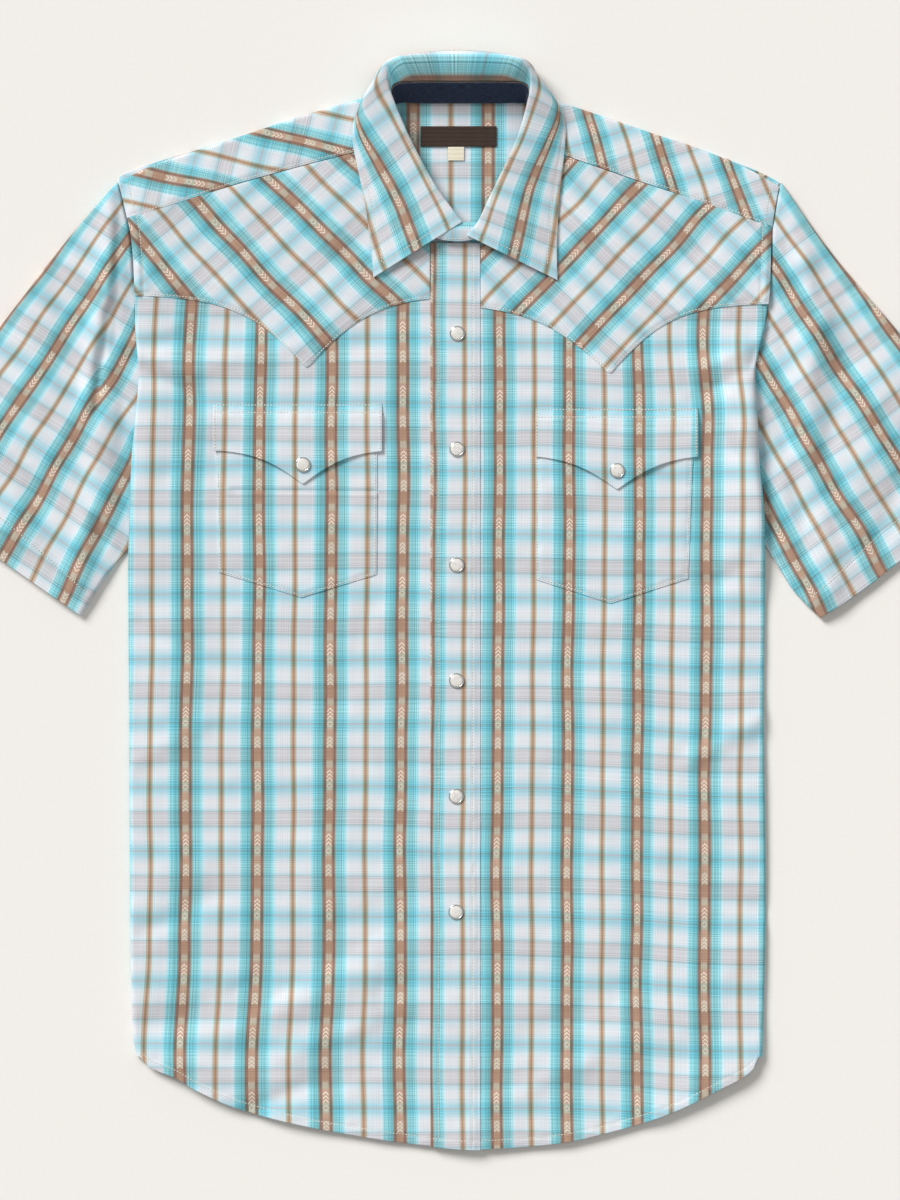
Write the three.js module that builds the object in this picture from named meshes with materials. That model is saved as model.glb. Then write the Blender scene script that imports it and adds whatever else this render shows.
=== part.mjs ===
import * as THREE from 'three';

// Western snap shirt with short sleeves, laid out flat and face up. Millimetres.
// +X is the viewer's right and the wearer's left, +Y runs from the hem to the collar,
// and +Z is up from the surface that the shirt lies on. Left and right are the wearer's.

const { lerp, smoothstep } = THREE.MathUtils;

// Walls of cloth, and the gaps that pieces keep
const bodyCloth = 1.2;
const sleeveCloth = 1.0;
const pocketCloth = 1.1;
const placketCloth = 1.4;
const collarCloth = 2.0;
const seamGap = 0.3;
const layGap = 0.4;
const hiddenGap = 0.9;
const pocketLift = (bodyCloth + pocketCloth) / 2 + layGap;

// Heights of the layers above the surface, at the middle of each wall
const underLayer = bodyCloth / 2;
const frontLayer = 3.6;
const overSleeveLayer = 3.4;
const ridgeLayer = 5.4;

// Body: the sides roll under and end at the side seams, less far beside the armholes
const wrapUnder = 28;
const wrapAtArmhole = 6;
const wrapNarrowsFromY = 165;
const wrapNarrowsToY = 208;
const centreX = 3;
const frontTopY = 268;
const frontTopSpread = { from: 14, to: 26 };
const underYoke = 9;
const throatHalfWidth = 44;
const backYokeSeamY = 215;
const backHemInset = 4;
const underarmY = 87;
const shoulderEndY = 316;

// How far the sides stand up where they roll under, and over how far in from the edge.
// The wrap lies on the sleeve above the underarm.
const sideRise = {
  below: 1.8,
  over: 3.8,
  overFromY: 5,
  overToY: 60,
  fallsFromY: 150,
  fallsToY: 225,
  reach: 75,
};
const wrapRise = { fromY: 8, toY: 36 };

// Placket and its snaps
const placketLeft = -16.8;
const placketRight = 21;
const placketTopY = 272;
const snapPitch = 87.8;
const firstSnapY = 203;
const snapCount = 6;
const snapDiameter = 11.6;
const pearlDiameter = 8.2;
const snapHeight = 2.2;
const snapSides = 12;
const snapLineX = { top: 3.6, bottom: 2.6 };

// Neck, where the back yoke's edge turns over the shoulders
const neckRightX = -47.5;
const neckLeftX = 59;
const neckBackY = 381;

// Woven label and size tab, sewn to the inner yoke
const label = { minX: -24.3, maxX: 33.5, minY: 345, maxY: 360.5, thick: 0.9 };
const tab = { minX: -3.5, maxX: 8.8, minY: 334.5, maxY: 344.6, thick: 0.8 };

// A table of named columns: one row for each section of a shape
function table(columns, rows) {
  const names = columns.split(' ');
  return rows.map((row) => Object.fromEntries(names.map((name, i) => [name, row[i]])));
}

// A smooth curve through two columns of a table, with no overshoot
function through(rows, from, to) {
  const last = rows.length - 1;
  const steps = rows.slice(1).map((row, i) => (row[to] - rows[i][to]) / (row[from] - rows[i][from]));
  const slopes = rows.map((row, i) => {
    const before = steps[Math.max(0, i - 1)];
    const after = steps[Math.min(last - 1, i)];
    return before * after > 0 ? (2 * before * after) / (before + after) : 0;
  });
  return (place) => {
    let i = 0;
    while (i < last - 1 && place > rows[i + 1][from]) i += 1;
    const span = rows[i + 1][from] - rows[i][from];
    const t = THREE.MathUtils.clamp((place - rows[i][from]) / span, 0, 1);
    const s = 1 - t;
    return s * s * (1 + 2 * t) * rows[i][to] + t * t * (1 + 2 * s) * rows[i + 1][to]
      + span * s * t * (s * slopes[i] - t * slopes[i + 1]);
  };
}

// Edges of the body seen from above: right is the wearer's right, at the lower X
const sideRows = table('y right left', [
  [-345, -240.5, 235.5],
  [-326, -243, 236],
  [-227, -245, 238],
  [-75, -246, 236.5],
  [17, -246.5, 237.5],
  [62, -245.5, 237],
  [107, -244, 233],
  [134, -241.5, 231.8],
  [172, -238.5, 229.8],
  [212, -241.3, 238],
  [240, -241.5, 241],
  [277, -244, 242],
  [300, -249, 245],
  [318, -253.5, 248.5],
]);
const sideX = {
  right: through(sideRows, 'y', 'right'),
  left: through(sideRows, 'y', 'left'),
};
const hemRows = table('x y', [
  [-243, -338],
  [-240, -347],
  [-234.5, -353.5],
  [-213, -362.5],
  [-198, -371.5],
  [-160, -387.5],
  [-84.5, -404.5],
  [-16.5, -414],
  [23, -416.4],
  [59, -414.5],
  [83, -412],
  [120.5, -404],
  [164, -391],
  [205.5, -371.5],
  [231.5, -356],
  [236, -345],
]);
const hemY = through(hemRows, 'x', 'y');

// The shoulders: where the yoke folds over, and its forward seam
const shoulderRows = table('x ridge seam', [
  [-254, 318.5, 289],
  [-222, 333.5, 299],
  [-192, 343, 308],
  [-154, 355.5, 319.5],
  [-116, 368, 330],
  [-72, 381, 341.5],
  [-46, 388, 349],
  [57, 387, 348],
  [86, 377.5, 338],
  [112, 369, 329],
  [150, 356, 316],
  [188, 343.5, 304],
  [226, 327.5, 291],
  [249, 314.5, 283],
]);
const ridgeY = through(shoulderRows, 'x', 'ridge');
const forwardSeamY = through(shoulderRows, 'x', 'seam');

// The armhole: beside the yoke at its top, and hidden under the front's rolled side below
const armholeRows = table('y right left', [
  [87, -208, 203],
  [110, -209, 204],
  [140, -213, 207],
  [180, -226, 217],
  [205, -239, 236],
  [222, -242.3, 240.2],
  [240, -242.4, 242],
  [277, -245, 243],
  [300, -250, 246],
  [318, -254.6, 249.6],
]);
const armholeX = {
  right: through(armholeRows, 'y', 'right'),
  left: through(armholeRows, 'y', 'left'),
};
const armholeYs = armholeRows.map((row) => row.y);
const shoulderY = armholeYs[armholeYs.length - 1];
const armholeShares = armholeYs.map((y) => (shoulderY - y) / (shoulderY - underarmY)).reverse();

// Pointed front yokes, flaps and pockets. A yoke or flap edge falls to its point in two swoops.
const yokes = {
  right: { pointX: -110.5, pointY: 176.5, rise: 56, outerReach: 53, innerReach: 52, outerX: -254 },
  left: { pointX: 119.5, pointY: 172, rise: 54, outerReach: 48, innerReach: 58, outerX: 249 },
};
const flaps = {
  right: { inX: -53.5, outX: -182, topY: 150, pointX: -113.5, pointY: 88.5, rise: 27, reach: 36 },
  left: { inX: 62.5, outX: 186.5, topY: 146.5, pointX: 125, pointY: 84.5, rise: 27, reach: 38 },
};
const pockets = {
  right: { inX: -57, outX: -180.5, bottomInX: -57.5, bottomOutX: -177.5, topY: 137, pointX: -116,
    pointY: 2.5, cornerY: 21.8 },
  left: { inX: 62.5, outX: 183.5, bottomInX: 63, bottomOutX: 179, topY: 134, pointX: 122,
    pointY: -2, cornerY: 17 },
};
const pocketSnaps = { right: [-113.5, 103.5], left: [125, 99] };

// The largest folds: soft ridges above zero, troughs below, each along a line
const foldRows = table('fromX fromY toX toY width height', [
  [-192, -341, -55, -273, 17, 2.6],
  [-228, -318, -93, -258, 14, -1.1],
  [-203, -60, -200, 40, 20, 0.9],
  [-205, -230, -203, -170, 20, 1.1],
  [150, -170, 70, -120, 22, 0.9],
  [200, -300, 120, -340, 20, 1.0],
  [-255, 316, -264, 205, 9, 3.0],
  [-254, 285, -257, 262, 6, -1.0],
  [-330, 190, -300, 60, 16, 1.3],
  [251, 275, 251, 120, 7, -1.1],
  [268, 255, 272, 110, 11, 2.2],
  [330, 170, 300, 60, 16, 1.2],
]);

function foldHeight(x, y) {
  return foldRows.reduce((sum, fold) => {
    const runX = fold.toX - fold.fromX;
    const runY = fold.toY - fold.fromY;
    const length = Math.hypot(runX, runY);
    const along = ((x - fold.fromX) * runX + (y - fold.fromY) * runY) / length;
    const aside = ((x - fold.fromX) * runY - (y - fold.fromY) * runX) / length;
    const past = Math.max(0, -along, along - length);
    return sum + fold.height * Math.exp(-(aside ** 2) / fold.width ** 2 - (past / fold.width) ** 2 / 3);
  }, 0);
}

// Middle height of the front's cloth, higher towards its rolled sides and over the sleeves
function frontZ(x, y) {
  const fromEdge = Math.min(x - sideX.right(y), sideX.left(y) - x);
  const overSleeve = smoothstep(y, sideRise.overFromY, sideRise.overToY);
  const besideYoke = smoothstep(y, sideRise.fallsFromY, sideRise.fallsToY);
  const sideLift = lerp(sideRise.below, sideRise.over, overSleeve) - sideRise.below * besideYoke;
  return frontLayer + sideLift * (1 - smoothstep(fromEdge, 0, sideRise.reach)) + foldHeight(x, y);
}

function yokeZ(x, y) {
  return frontZ(x, y) + bodyCloth + layGap;
}

// Height of the part of a side that is rolled under, which clears the sleeve
function wrapZ(y) {
  return lerp(underLayer, overSleeveLayer, smoothstep(y, wrapRise.fromY, wrapRise.toY));
}

function yokeEdgeY(side, x) {
  const yoke = yokes[side];
  const reach = Math.abs(x) > Math.abs(yoke.pointX) ? yoke.outerReach : yoke.innerReach;
  return yoke.pointY + yoke.rise * Math.tanh(Math.abs(x - yoke.pointX) / reach);
}

// A wall of cloth over a grid of points, half its thickness to each side of them.
// The grid may close on itself across, and may leave cells out.
function sheet({ across, along, thick, at, has = () => true, closed = false }) {
  const columns = closed ? across : across + 1;
  const rows = along + 1;
  const index = (i, j) => (i % columns) * rows + j;
  const points = [];
  for (let i = 0; i < columns; i += 1) {
    for (let j = 0; j < rows; j += 1) points.push(at(i, j));
  }
  const inGrid = (i, j) => (closed || (i >= 0 && i < across)) && j >= 0 && j < along;
  const present = (i, j) => inGrid(i, j) && has((i + across) % across, j);
  const normals = points.map(() => new THREE.Vector3());
  const cells = [];
  for (let i = 0; i < across; i += 1) {
    for (let j = 0; j < along; j += 1) {
      if (!present(i, j)) continue;
      const corners = [index(i, j), index(i + 1, j), index(i + 1, j + 1), index(i, j + 1)];
      const [a, b, c, d] = corners.map((corner) => points[corner]);
      const normal = c.clone().sub(a).cross(d.clone().sub(b));
      corners.forEach((corner) => normals[corner].add(normal));
      cells.push({ i, j, corners });
    }
  }
  const positions = [];
  points.forEach((point, k) => {
    const offset = normals[k].normalize().multiplyScalar(thick / 2);
    positions.push(...point.clone().add(offset).toArray(), ...point.clone().sub(offset).toArray());
  });
  const triangles = [];
  cells.forEach(({ i, j, corners }) => {
    const [a, b, c, d] = corners.map((corner) => corner * 2);
    triangles.push(a, b, c, a, c, d);
    triangles.push(a + 1, c + 1, b + 1, a + 1, d + 1, c + 1);
    const rims = [
      [a, b, present(i, j - 1)],
      [b, c, present(i + 1, j)],
      [c, d, present(i, j + 1)],
      [d, a, present(i - 1, j)],
    ];
    rims.filter(([, , joined]) => !joined).forEach(([from, to]) => {
      triangles.push(from + 1, to + 1, to, from + 1, to, from);
    });
  });
  const used = [...new Set(triangles)].sort((p, q) => p - q);
  const place = new Map(used.map((old, k) => [old, k]));
  const geometry = new THREE.BufferGeometry();
  const kept = used.flatMap((old) => positions.slice(old * 3, old * 3 + 3));
  geometry.setAttribute('position', new THREE.Float32BufferAttribute(kept, 3));
  geometry.setIndex(triangles.map((old) => place.get(old)));
  geometry.computeVertexNormals();
  return geometry;
}

// A flat piece of cloth with its underside at a height
function flatPiece(outline, z, thick) {
  const shape = new THREE.Shape(outline.map(([x, y]) => new THREE.Vector2(x, y)));
  const geometry = new THREE.ExtrudeGeometry(shape, { depth: thick, bevelEnabled: false });
  return geometry.translate(0, 0, z);
}

// Places from one number to another, both included
function span(from, to, steps) {
  return Array.from({ length: steps + 1 }, (_, k) => lerp(from, to, k / steps));
}

const sign = { right: -1, left: 1 };

const shirt = new THREE.Group();

function addPiece(name, geometry, colour, roughness = 0.9, metalness = 0) {
  const material = new THREE.MeshStandardMaterial({ color: colour, roughness, metalness });
  const mesh = new THREE.Mesh(geometry, material);
  mesh.name = name;
  shirt.add(mesh);
  return mesh;
}

const plaidColour = 0xb4d3d8;
const yokeColour = 0xa5cdd4;
const pocketColour = 0xc3d9dc;
const liningColour = 0xcfdde0;
const bandColour = 0x1f2c44;
const labelColour = 0x4a3426;
const tabColour = 0xe9e2cc;
const pearlColour = 0xe0ded6;
const ringColour = 0xb9bbbe;

// Front: from under the placket to the rolled side, round it and back under to the side seam
function frontPanel(side) {
  const flat = 11;
  const roll = 4;
  const under = 2;
  const along = 28;
  const inner = centreX + sign[side] * seamGap / 2;
  const outer = sideX[side](0) - sign[side] * 2;
  const topEdge = (x) => {
    const pastPlacket = smoothstep(Math.abs(x - centreX), frontTopSpread.from, frontTopSpread.to);
    return lerp(frontTopY, yokeEdgeY(side, x) + underYoke, pastPlacket);
  };
  return sheet({
    across: flat + roll + under,
    along,
    thick: bodyCloth,
    at(i, j) {
      const share = Math.min(1, i / flat);
      const nominal = lerp(inner, outer, share);
      let y = lerp(hemY(nominal) + bodyCloth / 2, topEdge(nominal), j / along);
      const edge = sideX[side](y) - sign[side] * bodyCloth / 2;
      const top = frontZ(edge, y);
      const bottom = wrapZ(y);
      const radius = (top - bottom) / 2;
      const turn = edge - sign[side] * radius;
      if (i <= flat) {
        const x = lerp(inner, turn, share);
        return new THREE.Vector3(x, y, i === flat ? top : frontZ(x, y));
      }
      if (i <= flat + roll) {
        const angle = (Math.PI * (i - flat)) / roll;
        const x = turn + sign[side] * radius * Math.sin(angle);
        return new THREE.Vector3(x, y, bottom + radius * (1 + Math.cos(angle)));
      }
      const narrowed = smoothstep(y, wrapNarrowsFromY, wrapNarrowsToY);
      const reach = lerp(wrapUnder, wrapAtArmhole, narrowed) * (i - flat - roll) / under;
      const x = edge - sign[side] * Math.max(radius + 1, reach);
      y = Math.max(y, hemY(x) + backHemInset);
      return new THREE.Vector3(x, y, bottom);
    },
  });
}

// Back: flat on the surface between the two side seams, and out to the armholes
function backPanel() {
  const edgeX = (side, y) => {
    const atSeam = sideX[side](y) - sign[side] * (wrapUnder + hiddenGap + bodyCloth / 2);
    const atArmhole = armholeX[side](Math.max(y, underarmY)) - sign[side] * (hiddenGap + sleeveCloth / 2);
    return lerp(atSeam, atArmhole, smoothstep(y, 45, 78));
  };
  const topY = backYokeSeamY - seamGap;
  const besideArmhole = armholeYs.filter((y) => y < topY);
  const sideYs = [-338, -327, ...span(-300, 30, 5), ...span(45, 78, 3), ...besideArmhole, topY];
  const hemEndY = -345;
  const hemXs = span(edgeX('right', hemEndY), edgeX('left', hemEndY), 12);
  const hemLine = hemXs.map((x) => [x, hemY(x) + backHemInset]);
  const leftLine = sideYs.map((y) => [edgeX('left', y), y]);
  const rightLine = sideYs.map((y) => [edgeX('right', y), y]).reverse();
  return flatPiece([...hemLine, ...leftLine, ...rightLine], 0, bodyCloth);
}

// Outer back yoke: flat under the shirt, over each shoulder ridge and down to the forward seam
function backYoke() {
  const strip = 9;
  const middle = 4;
  const under = 4;
  const roll = 4;
  const over = 3;
  const columns = [
    ...span(-1, 0, strip).map((t) => ({ t: t + 1, from: 'armhole' })),
    ...span(0, 1, middle).slice(1, -1).map((t) => ({ t, from: 'neck' })),
    ...span(0, 1, strip).map((t) => ({ t, from: 'far' })),
  ];
  const columnX = ({ t, from }, y) => {
    const right = armholeX.right(y) + hiddenGap + sleeveCloth / 2;
    const left = armholeX.left(y) - hiddenGap - sleeveCloth / 2;
    if (from === 'armhole') return lerp(right, neckRightX, t);
    if (from === 'neck') return lerp(neckRightX, neckLeftX, t);
    return lerp(neckLeftX, left, t);
  };
  const radius = (ridgeLayer - underLayer) / 2;
  return sheet({
    across: columns.length - 1,
    along: under + roll + over,
    thick: bodyCloth,
    has: (i, j) => j < under || i < strip || i >= strip + middle,
    at(i, j) {
      const column = columns[i];
      const ridge = ridgeY(columnX(column, shoulderEndY)) - radius - bodyCloth / 2;
      if (j <= under) {
        const top = column.from === 'neck' ? neckBackY : ridge;
        const y = lerp(backYokeSeamY, top, j / under);
        return new THREE.Vector3(columnX(column, y), y, underLayer);
      }
      const x = columnX(column, shoulderEndY);
      if (j <= under + roll) {
        const angle = (Math.PI * (j - under)) / roll;
        const y = ridge + radius * Math.sin(angle);
        return new THREE.Vector3(x, y, underLayer + radius * (1 - Math.cos(angle)));
      }
      const t = (j - under - roll) / over;
      const y = lerp(ridge, forwardSeamY(x) + seamGap / 2, t);
      const overX = columnX(column, Math.min(y, shoulderEndY));
      return new THREE.Vector3(overX, y, lerp(ridgeLayer, yokeZ(overX, y), t));
    },
  });
}

// Inner yoke: lies on the outer one and shows in the neck
function yokeLining() {
  const inset = 9;
  const bottomY = backYokeSeamY + 6;
  const ends = { right: { bottomX: -230, x: -236, y: 312 }, left: { bottomX: 229, x: 233, y: 308 } };
  const topLine = shoulderRows
    .filter((row) => row.x > ends.right.x && row.x < ends.left.x)
    .map((row) => [row.x, Math.min(row.ridge - inset, neckBackY - 1)])
    .reverse();
  const outline = [
    [ends.right.bottomX, bottomY],
    [ends.left.bottomX, bottomY],
    [ends.left.x, ends.left.y],
    ...topLine,
    [ends.right.x, ends.right.y],
  ];
  return flatPiece(outline, bodyCloth + seamGap, sleeveCloth);
}

// Front yoke: from the placket to the armhole, and from its pointed edge to the shoulder seam
function frontYoke(side) {
  const inner = side === 'right' ? placketLeft - seamGap : placketRight + seamGap;
  const across = 14;
  const along = 5;
  const neckEdge = through(side === 'right' ? neckRightRows : neckLeftRows, 'x', 'y');
  return sheet({
    across,
    along,
    thick: pocketCloth,
    at(i, j) {
      const nominal = lerp(inner, yokes[side].outerX, i / across);
      const neck = Math.abs(nominal - centreX) < throatHalfWidth ? neckEdge(nominal) - 2 : Infinity;
      const top = Math.min(forwardSeamY(nominal) - hiddenGap, neck);
      const y = lerp(yokeEdgeY(side, nominal), top, j / along);
      const x = lerp(inner, sideX[side](y), i / across);
      return new THREE.Vector3(x, y, yokeZ(x, y));
    },
  });
}

// Placket: the lapping front's band, on top of both fronts
function placket() {
  const across = 4;
  const along = 30;
  return sheet({
    across,
    along,
    thick: placketCloth,
    at(i, j) {
      const x = lerp(placketLeft, placketRight, i / across);
      const y = lerp(hemY(x) - 0.4, placketTopY, j / along);
      return new THREE.Vector3(x, y, placketZ(x, y));
    },
  });
}

function placketZ(x, y) {
  return frontZ(x, y) + (bodyCloth + placketCloth) / 2 + layGap;
}

// Patch pocket with a pointed bottom, made from the front's points moved out
function pocket(side) {
  const size = pockets[side];
  const across = 8;
  const along = 6;
  return sheet({
    across,
    along,
    thick: pocketCloth,
    at(i, j) {
      const nominal = lerp(size.inX, size.outX, i / across);
      const reach = Math.abs(nominal - size.pointX) / Math.abs(size.outX - size.pointX);
      const bottom = lerp(size.pointY, size.cornerY, Math.min(1, reach));
      const y = lerp(bottom, size.topY, j / along);
      const x = lerp(lerp(size.bottomInX, size.bottomOutX, i / across), nominal, j / along);
      return new THREE.Vector3(x, y, frontZ(x, y) + pocketLift);
    },
  });
}

// Flap: sewn to the front along its top and lying over the pocket below
function flapZ(side, x, y) {
  const overPocket = 1 - smoothstep(y, pockets[side].topY + 2, flaps[side].topY);
  return frontZ(x, y) + pocketLift + overPocket * (pocketCloth + layGap);
}

function flap(side) {
  const size = flaps[side];
  const across = 12;
  const along = 5;
  return sheet({
    across,
    along,
    thick: pocketCloth,
    at(i, j) {
      const x = lerp(size.inX, size.outX, i / across);
      const bottom = size.pointY + size.rise * Math.tanh(Math.abs(x - size.pointX) / size.reach);
      const y = lerp(bottom, size.topY, j / along);
      return new THREE.Vector3(x, y, flapZ(side, x, y));
    },
  });
}

// Sleeves: flattened tubes, each between its top fold, underarm fold, armhole and hem
const sleeveFolds = {
  right: {
    over: [[-254.6, 318], [-288.5, 279.5], [-344, 208], [-431.5, 94]],
    under: [[-208, underarmY], [-247, 38], [-262, 20], [-282, -11.5]],
    hem: [[-431.5, 94], [-344, 32], [-282, -11.5]],
  },
  left: {
    over: [[249.6, 318], [284.5, 269], [340, 203], [431.5, 96.5]],
    under: [[203, underarmY], [238, 41], [259.5, 7], [279, -13]],
    hem: [[431.5, 96.5], [340, 30.5], [303.5, 2.8], [279, -13]],
  },
};

// Heights of a sleeve's top layer: under the front's side, further out, and beside the yoke
const sleeveRise = { hidden: 1.9, relief: 1.7, reliefFrom: 1.5, reliefTo: 22 };
const sleeveHead = { rise: 2.7, fromY: 222, toY: 262, reach: 40 };

function sleeveZ(side, x, y) {
  const outside = sign[side] * (x - sideX[side](y));
  const near = 1 - smoothstep(outside, 0, sleeveHead.reach);
  const besideYoke = sleeveHead.rise * smoothstep(y, sleeveHead.fromY, sleeveHead.toY) * near;
  const shown = smoothstep(outside, sleeveRise.reliefFrom, sleeveRise.reliefTo);
  return sleeveRise.hidden + besideYoke + (sleeveRise.relief + foldHeight(x, y)) * shown;
}

function sleeve(side) {
  const curves = Object.fromEntries(Object.entries(sleeveFolds[side]).map(([name, points]) => (
    [name, new THREE.SplineCurve(points.map(([x, y]) => new THREE.Vector2(x, y)))]
  )));
  const capPoint = (c) => {
    const y = lerp(shoulderY, underarmY, c);
    return new THREE.Vector2(armholeX[side](y), y);
  };
  const corners = [capPoint(0), curves.over.getPoint(1), capPoint(1), curves.under.getPoint(1)];
  const onCloth = (a, c) => {
    const between = curves.over.getPointAt(a).lerp(curves.under.getPointAt(a), c);
    const ends = capPoint(c).lerp(curves.hem.getPointAt(c), a);
    const blend = corners[0].clone().lerp(corners[1], a).lerp(corners[2].clone().lerp(corners[3], a), c);
    return between.add(ends).sub(blend);
  };
  const layer = armholeShares.length - 1;
  const roll = 3;
  const along = 13;
  const around = 2 * (layer + roll);
  const floorZ = sleeveCloth / 2;
  const foldAt = (a, c) => {
    const point = onCloth(a, c);
    const inward = onCloth(a, c === 0 ? 0.04 : 0.96).sub(point).normalize();
    const radius = (sleeveZ(side, point.x, point.y) - floorZ) / 2;
    const centre = point.clone().addScaledVector(inward, radius + sleeveCloth / 2);
    return { centre, inward, radius };
  };
  return sheet({
    across: around,
    along,
    thick: sleeveCloth,
    closed: true,
    at(i, j) {
      const a = j / along;
      const overFold = foldAt(a, 0);
      const underFold = foldAt(a, 1);
      const edgeShift = (c) => overFold.centre.clone().sub(onCloth(a, 0)).multiplyScalar(1 - c)
        .add(underFold.centre.clone().sub(onCloth(a, 1)).multiplyScalar(c));
      if (i <= layer) {
        const c = armholeShares[i];
        const point = onCloth(a, c).add(edgeShift(c));
        const fold = i === 0 ? overFold : underFold;
        const z = i % layer === 0 ? floorZ + 2 * fold.radius : sleeveZ(side, point.x, point.y);
        return new THREE.Vector3(point.x, point.y, z);
      }
      const rolled = (fold, angle) => {
        const point = fold.centre.clone().addScaledVector(fold.inward, -fold.radius * Math.sin(angle));
        return new THREE.Vector3(point.x, point.y, floorZ + fold.radius * (1 + Math.cos(angle)));
      };
      if (i <= layer + roll) return rolled(underFold, (Math.PI * (i - layer)) / roll);
      if (i <= 2 * layer + roll) {
        const c = armholeShares[2 * layer + roll - i];
        const point = onCloth(a, c).add(edgeShift(c));
        return new THREE.Vector3(point.x, point.y, floorZ);
      }
      return rolled(overFold, Math.PI * (1 - (i - 2 * layer - roll) / roll));
    },
  });
}

// Collar and stand: one row for each section, from the right front round the back to the left.
// seam is the neck seam, join the top of the stand, roll the fold and edge the leaf's edge.
const collarRows = table('seamX seamY joinX joinY rollX rollY edgeX edgeY back', [
  [-9, 277, 1, 284, 6, 286.5, -60, 245.5, 0],
  [-18, 296, -9, 300, -5, 301.5, -61, 263, 0],
  [-27, 314, -19, 316.5, -15, 316.5, -63.5, 281.5, 0],
  [-35, 332, -29, 334.5, -25, 334.5, -66, 300.5, 0.05],
  [-41, 349, -38.5, 352.5, -35, 354.5, -71, 325, 0.15],
  [-45, 364, -45.5, 369, -43.5, 374, -75.5, 351, 0.32],
  [-45, 376, -47, 383, -49.5, 390, -72, 371, 0.55],
  [-38, 379.5, -44, 391.5, -50.5, 403, -61, 391, 0.8],
  [-25, 379, -30, 393.5, -40, 410, -45, 409, 1],
  [2.5, 379, 2.5, 393.5, 2.5, 412, 2.5, 415.6, 1],
  [35, 379, 38, 393.5, 45, 410, 51, 410, 1],
  [50, 379.5, 55, 392, 58, 403, 64.5, 396, 0.8],
  [57.5, 377, 58.5, 384, 60, 392, 78, 379, 0.55],
  [57, 365, 57.5, 370, 57, 376, 85, 364, 0.32],
  [53, 349, 52.5, 352.5, 50, 352.5, 85, 345, 0.15],
  [46.5, 332, 46, 335, 42.5, 335, 83, 325, 0.05],
  [39, 314, 38, 318, 35, 319, 81, 305, 0],
  [30, 295, 30, 301, 27.5, 303, 79.5, 284, 0],
  [19, 280, 22, 286, 20, 287, 79, 264, 0],
  [9, 273, 15, 277, 12, 276.5, 79.5, 243.5, 0],
]);
const neckRightRows = collarRows.slice(0, 6).map((row) => ({ x: row.seamX, y: row.seamY })).reverse();
const neckLeftRows = collarRows.slice(14).map((row) => ({ x: row.seamX, y: row.seamY })).reverse();
const ringSteps = 30;
const collarFront = { seamZ: 7.2, joinZ: 10, innerZ: 11.6, topZ: 13.4 };
const collarBack = { seamZ: 3.8, joinZ: 24, innerZ: 29, topZ: 31 };

// The leaf: how far out its crest lies in front, its bulge, its edge's clearance above the yoke,
// its edge's and middle's heights at the back, and where round the ring they change over
const leaf = { crestOut: 3.2, bulge: 1.2, overYoke: 2.2, backEdgeZ: 3.2, backMiddleZ: 20 };
const leafTurn = { middleFront: 0.5, middleBack: 1.15, edgeFrom: 0.56, edgeTo: 0.95, middleFrom: 0.5 };
const yokeTopY = 360;

// One section of the collar: its named points, with heights blended from front to back
function collarSection(row) {
  const height = (name) => lerp(collarFront[name], collarBack[name], row.back);
  const roll = new THREE.Vector2(row.rollX, row.rollY);
  const edge = new THREE.Vector2(row.edgeX, row.edgeY);
  const join = new THREE.Vector2(row.joinX, row.joinY);
  const outward = edge.clone().sub(roll).normalize();
  const inner = roll.clone().lerp(join.clone().lerp(roll, 0.5), row.back);
  const crest = roll.clone().addScaledVector(outward, leaf.crestOut * (1 - row.back));
  const middle = roll.clone().lerp(edge, lerp(leafTurn.middleFront, leafTurn.middleBack, row.back));
  const lyingZ = yokeZ(row.edgeX, Math.min(row.edgeY, yokeTopY)) + leaf.overYoke;
  const edgeTurn = smoothstep(row.back, leafTurn.edgeFrom, leafTurn.edgeTo);
  const edgeZ = lerp(lyingZ, leaf.backEdgeZ, edgeTurn);
  const bulgeZ = lerp(height('topZ'), edgeZ, 0.5) + leaf.bulge;
  const middleZ = lerp(bulgeZ, leaf.backMiddleZ, smoothstep(row.back, leafTurn.middleFrom, 1));
  return {
    seam: new THREE.Vector3(row.seamX, row.seamY, height('seamZ')),
    join: new THREE.Vector3(join.x, join.y, height('joinZ')),
    inner: new THREE.Vector3(inner.x, inner.y, height('innerZ')),
    crest: new THREE.Vector3(crest.x, crest.y, height('topZ')),
    middle: new THREE.Vector3(middle.x, middle.y, middleZ),
    edge: new THREE.Vector3(edge.x, edge.y, edgeZ),
  };
}

// The ring of sections as smooth curves, one for each named point
function ringCurves(rows) {
  const sections = rows.map(collarSection);
  const names = Object.keys(sections[0]);
  return Object.fromEntries(names.map((name) => (
    [name, new THREE.CatmullRomCurve3(sections.map((section) => section[name]))]
  )));
}

// Collar: from the top of the stand over the roll and out over the leaf
function collar() {
  const ring = ringCurves(collarRows);
  const across = ringSteps;
  const along = 10;
  const names = ['join', 'inner', 'crest', 'middle', 'edge'];
  const sections = span(0, 1, across).map((t) => (
    new THREE.CatmullRomCurve3(names.map((name) => ring[name].getPoint(t)))
  ));
  return sheet({
    across,
    along,
    thick: collarCloth,
    at: (i, j) => sections[i].getPoint((j / along) ** 0.9),
  });
}

// Stand: from the neck seam up to the collar, its left end lapping past the leaf's end.
// The low front keeps further from the collar than the back, which stands up.
const standClearance = { front: 1.2, lowZ: 12, highZ: 20 };

function standPoint(ring, t, rise) {
  const seam = ring.seam.getPoint(t);
  const join = ring.join.getPoint(t);
  const height = seam.distanceTo(join);
  const standing = smoothstep(join.z, standClearance.lowZ, standClearance.highZ);
  const clearance = lerp(standClearance.front, seamGap, standing);
  const reach = height - collarCloth / 2 - clearance;
  return seam.clone().lerp(join, (rise * reach) / height);
}

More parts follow.
